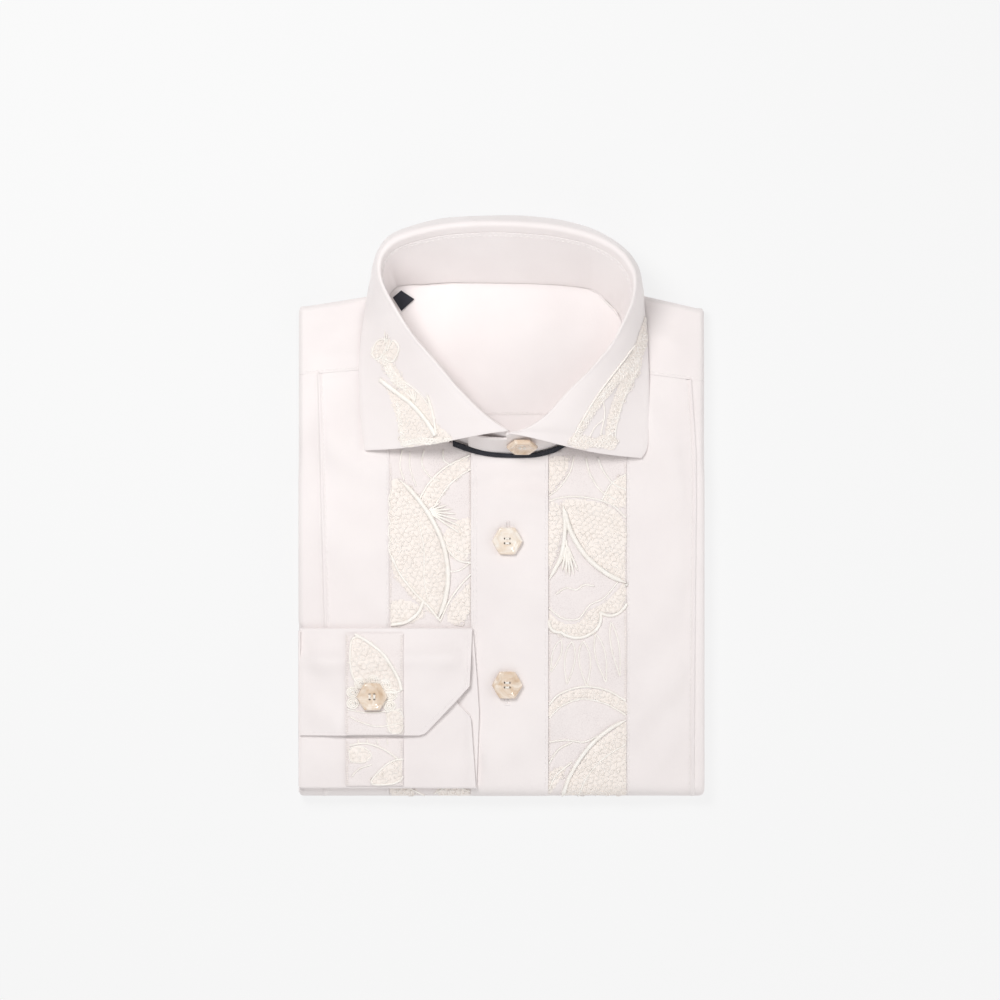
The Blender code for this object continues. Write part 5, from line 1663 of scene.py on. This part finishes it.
# Each cloth piece, its node, its slot, what it rests on and what is sewn to it
for obj, name, slot, rests_on, extras in (
        (front_left, "front_left", "white_cotton", (core,), (stitches["front_left"],)),
        (front_right, "front_right", "white_cotton", (core,), (stitches["front_right"],)),
        (placket, "placket", "white_cotton", (core,), (stitches["placket"], buttonholes)),
        (yoke, "yoke", "white_cotton", (core,), (stitches["yoke"],)),
        (yoke_inside, "yoke_inside", "white_cotton", (core,), (stitches["yoke_inside"], neck_crease)),
        (back_upper, "back_upper", "white_cotton", (core,), ()),
        (back_lower, "back_lower", "white_cotton", (core,), ()),
        (stand, "collar_stand", "white_cotton", (yoke_inside,), (stitches["collar_stand"],)),
        (leaf, "collar_leaf", "white_cotton", (stand, front_left, front_right), ()),
        (cuff, "cuff", "white_cotton", (front_left,), (stitches["cuff"],)),
        (sleeve, "sleeve", "white_cotton", (core,), ()),
        (lace_left, "lace_left", "cream_lace", (core,), lace_pieces["lace_left"]),
        (lace_right, "lace_right", "cream_lace", (core,), lace_pieces["lace_right"]),
        (lace_over, "cuff_lace_over", "cream_lace", (cuff,), lace_pieces["cuff_lace_over"]),
        (lace_under, "cuff_lace_under", "cream_lace", (cuff,), lace_pieces["cuff_lace_under"])):
    dress(name, (obj, *extras))
# The rest: embroidery on the leaf, narrow tapes, plies and buttons
for name in ("collar_lace_left", "collar_lace_right"):
    dress(name, lace_pieces[name])
dress("neck_tape", (tape,))
dress("size_tab", (size_tab,))
dress("folded_layers", (core,))
for name, (button, thread) in buttons.items():
    dress(name, (button, thread))


# Floor, light and camera

FLOOR_TONES = (0.135, 0.138)
FLOOR_GLOW = 0.792
WORLD_STRENGTH = 0.43
# Name, place and target in metres, diameter in metres, power in watts
LIGHTS = (
    ("key", (-0.30, 0.36, 0.80), (0, 0, 0), 0.36, 4.45),
    ("fill", (0.1, -1.7, 1.5), (0, 0.05, 0), 2.0, 11.2),
    ("side", (1.6, -0.1, 0.8), (0, 0.05, 0), 1.2, 6.5),
)
CAMERA_PLACE = (-0.00083, 0.00333, 2.2)
CAMERA_LENS = 141.6
CAMERA_SENSOR = 36.0


def make_stage():
    bpy.ops.mesh.primitive_plane_add(size=8.0, location=(0, 0, -0.0002))
    floor = bpy.context.object
    floor.name = "floor"
    material, tree, shader = new_material("floor", {
        "Roughness": 1.0, "Specular IOR Level": 0.0, "Emission Color": (1.0, 1.0, 1.0, 1.0),
        "Emission Strength": FLOOR_GLOW})
    patches = add_node(tree, "TexNoise", {"Scale": 3.0}).outputs["Fac"]
    tone = ramp(tree, patches, [(at, (tone, tone, tone)) for at, tone in enumerate(FLOOR_TONES)])
    tree.links.new(tone, shader.inputs["Base Color"])
    floor.data.materials.append(material)


def area_light(name, place, target, size, power):
    light = bpy.data.lights.new(name, "AREA")
    light.shape = "DISK"
    light.size = size
    light.energy = power
    obj = bpy.data.objects.new(name, light)
    obj.location = place
    obj.rotation_euler = (Vector(target) - Vector(place)).to_track_quat("-Z", "Y").to_euler()
    bpy.context.scene.collection.objects.link(obj)


make_stage()
for light_row in LIGHTS:
    area_light(*light_row)
world = bpy.data.worlds.new("studio")
bpy.context.scene.world = world
world.use_nodes = True
background = world.node_tree.nodes["Background"]
background.inputs["Color"].default_value = (1.0, 1.0, 1.0, 1.0)
background.inputs["Strength"].default_value = WORLD_STRENGTH

camera_data = bpy.data.cameras.new("camera")
camera_data.lens = CAMERA_LENS
camera_data.sensor_width = CAMERA_SENSOR
camera = bpy.data.objects.new("camera", camera_data)
camera.location = CAMERA_PLACE
bpy.context.scene.collection.objects.link(camera)
bpy.context.scene.camera = camera
bpy.context.scene.view_settings.view_transform = "Standard"

bpy.context.view_layer.update()
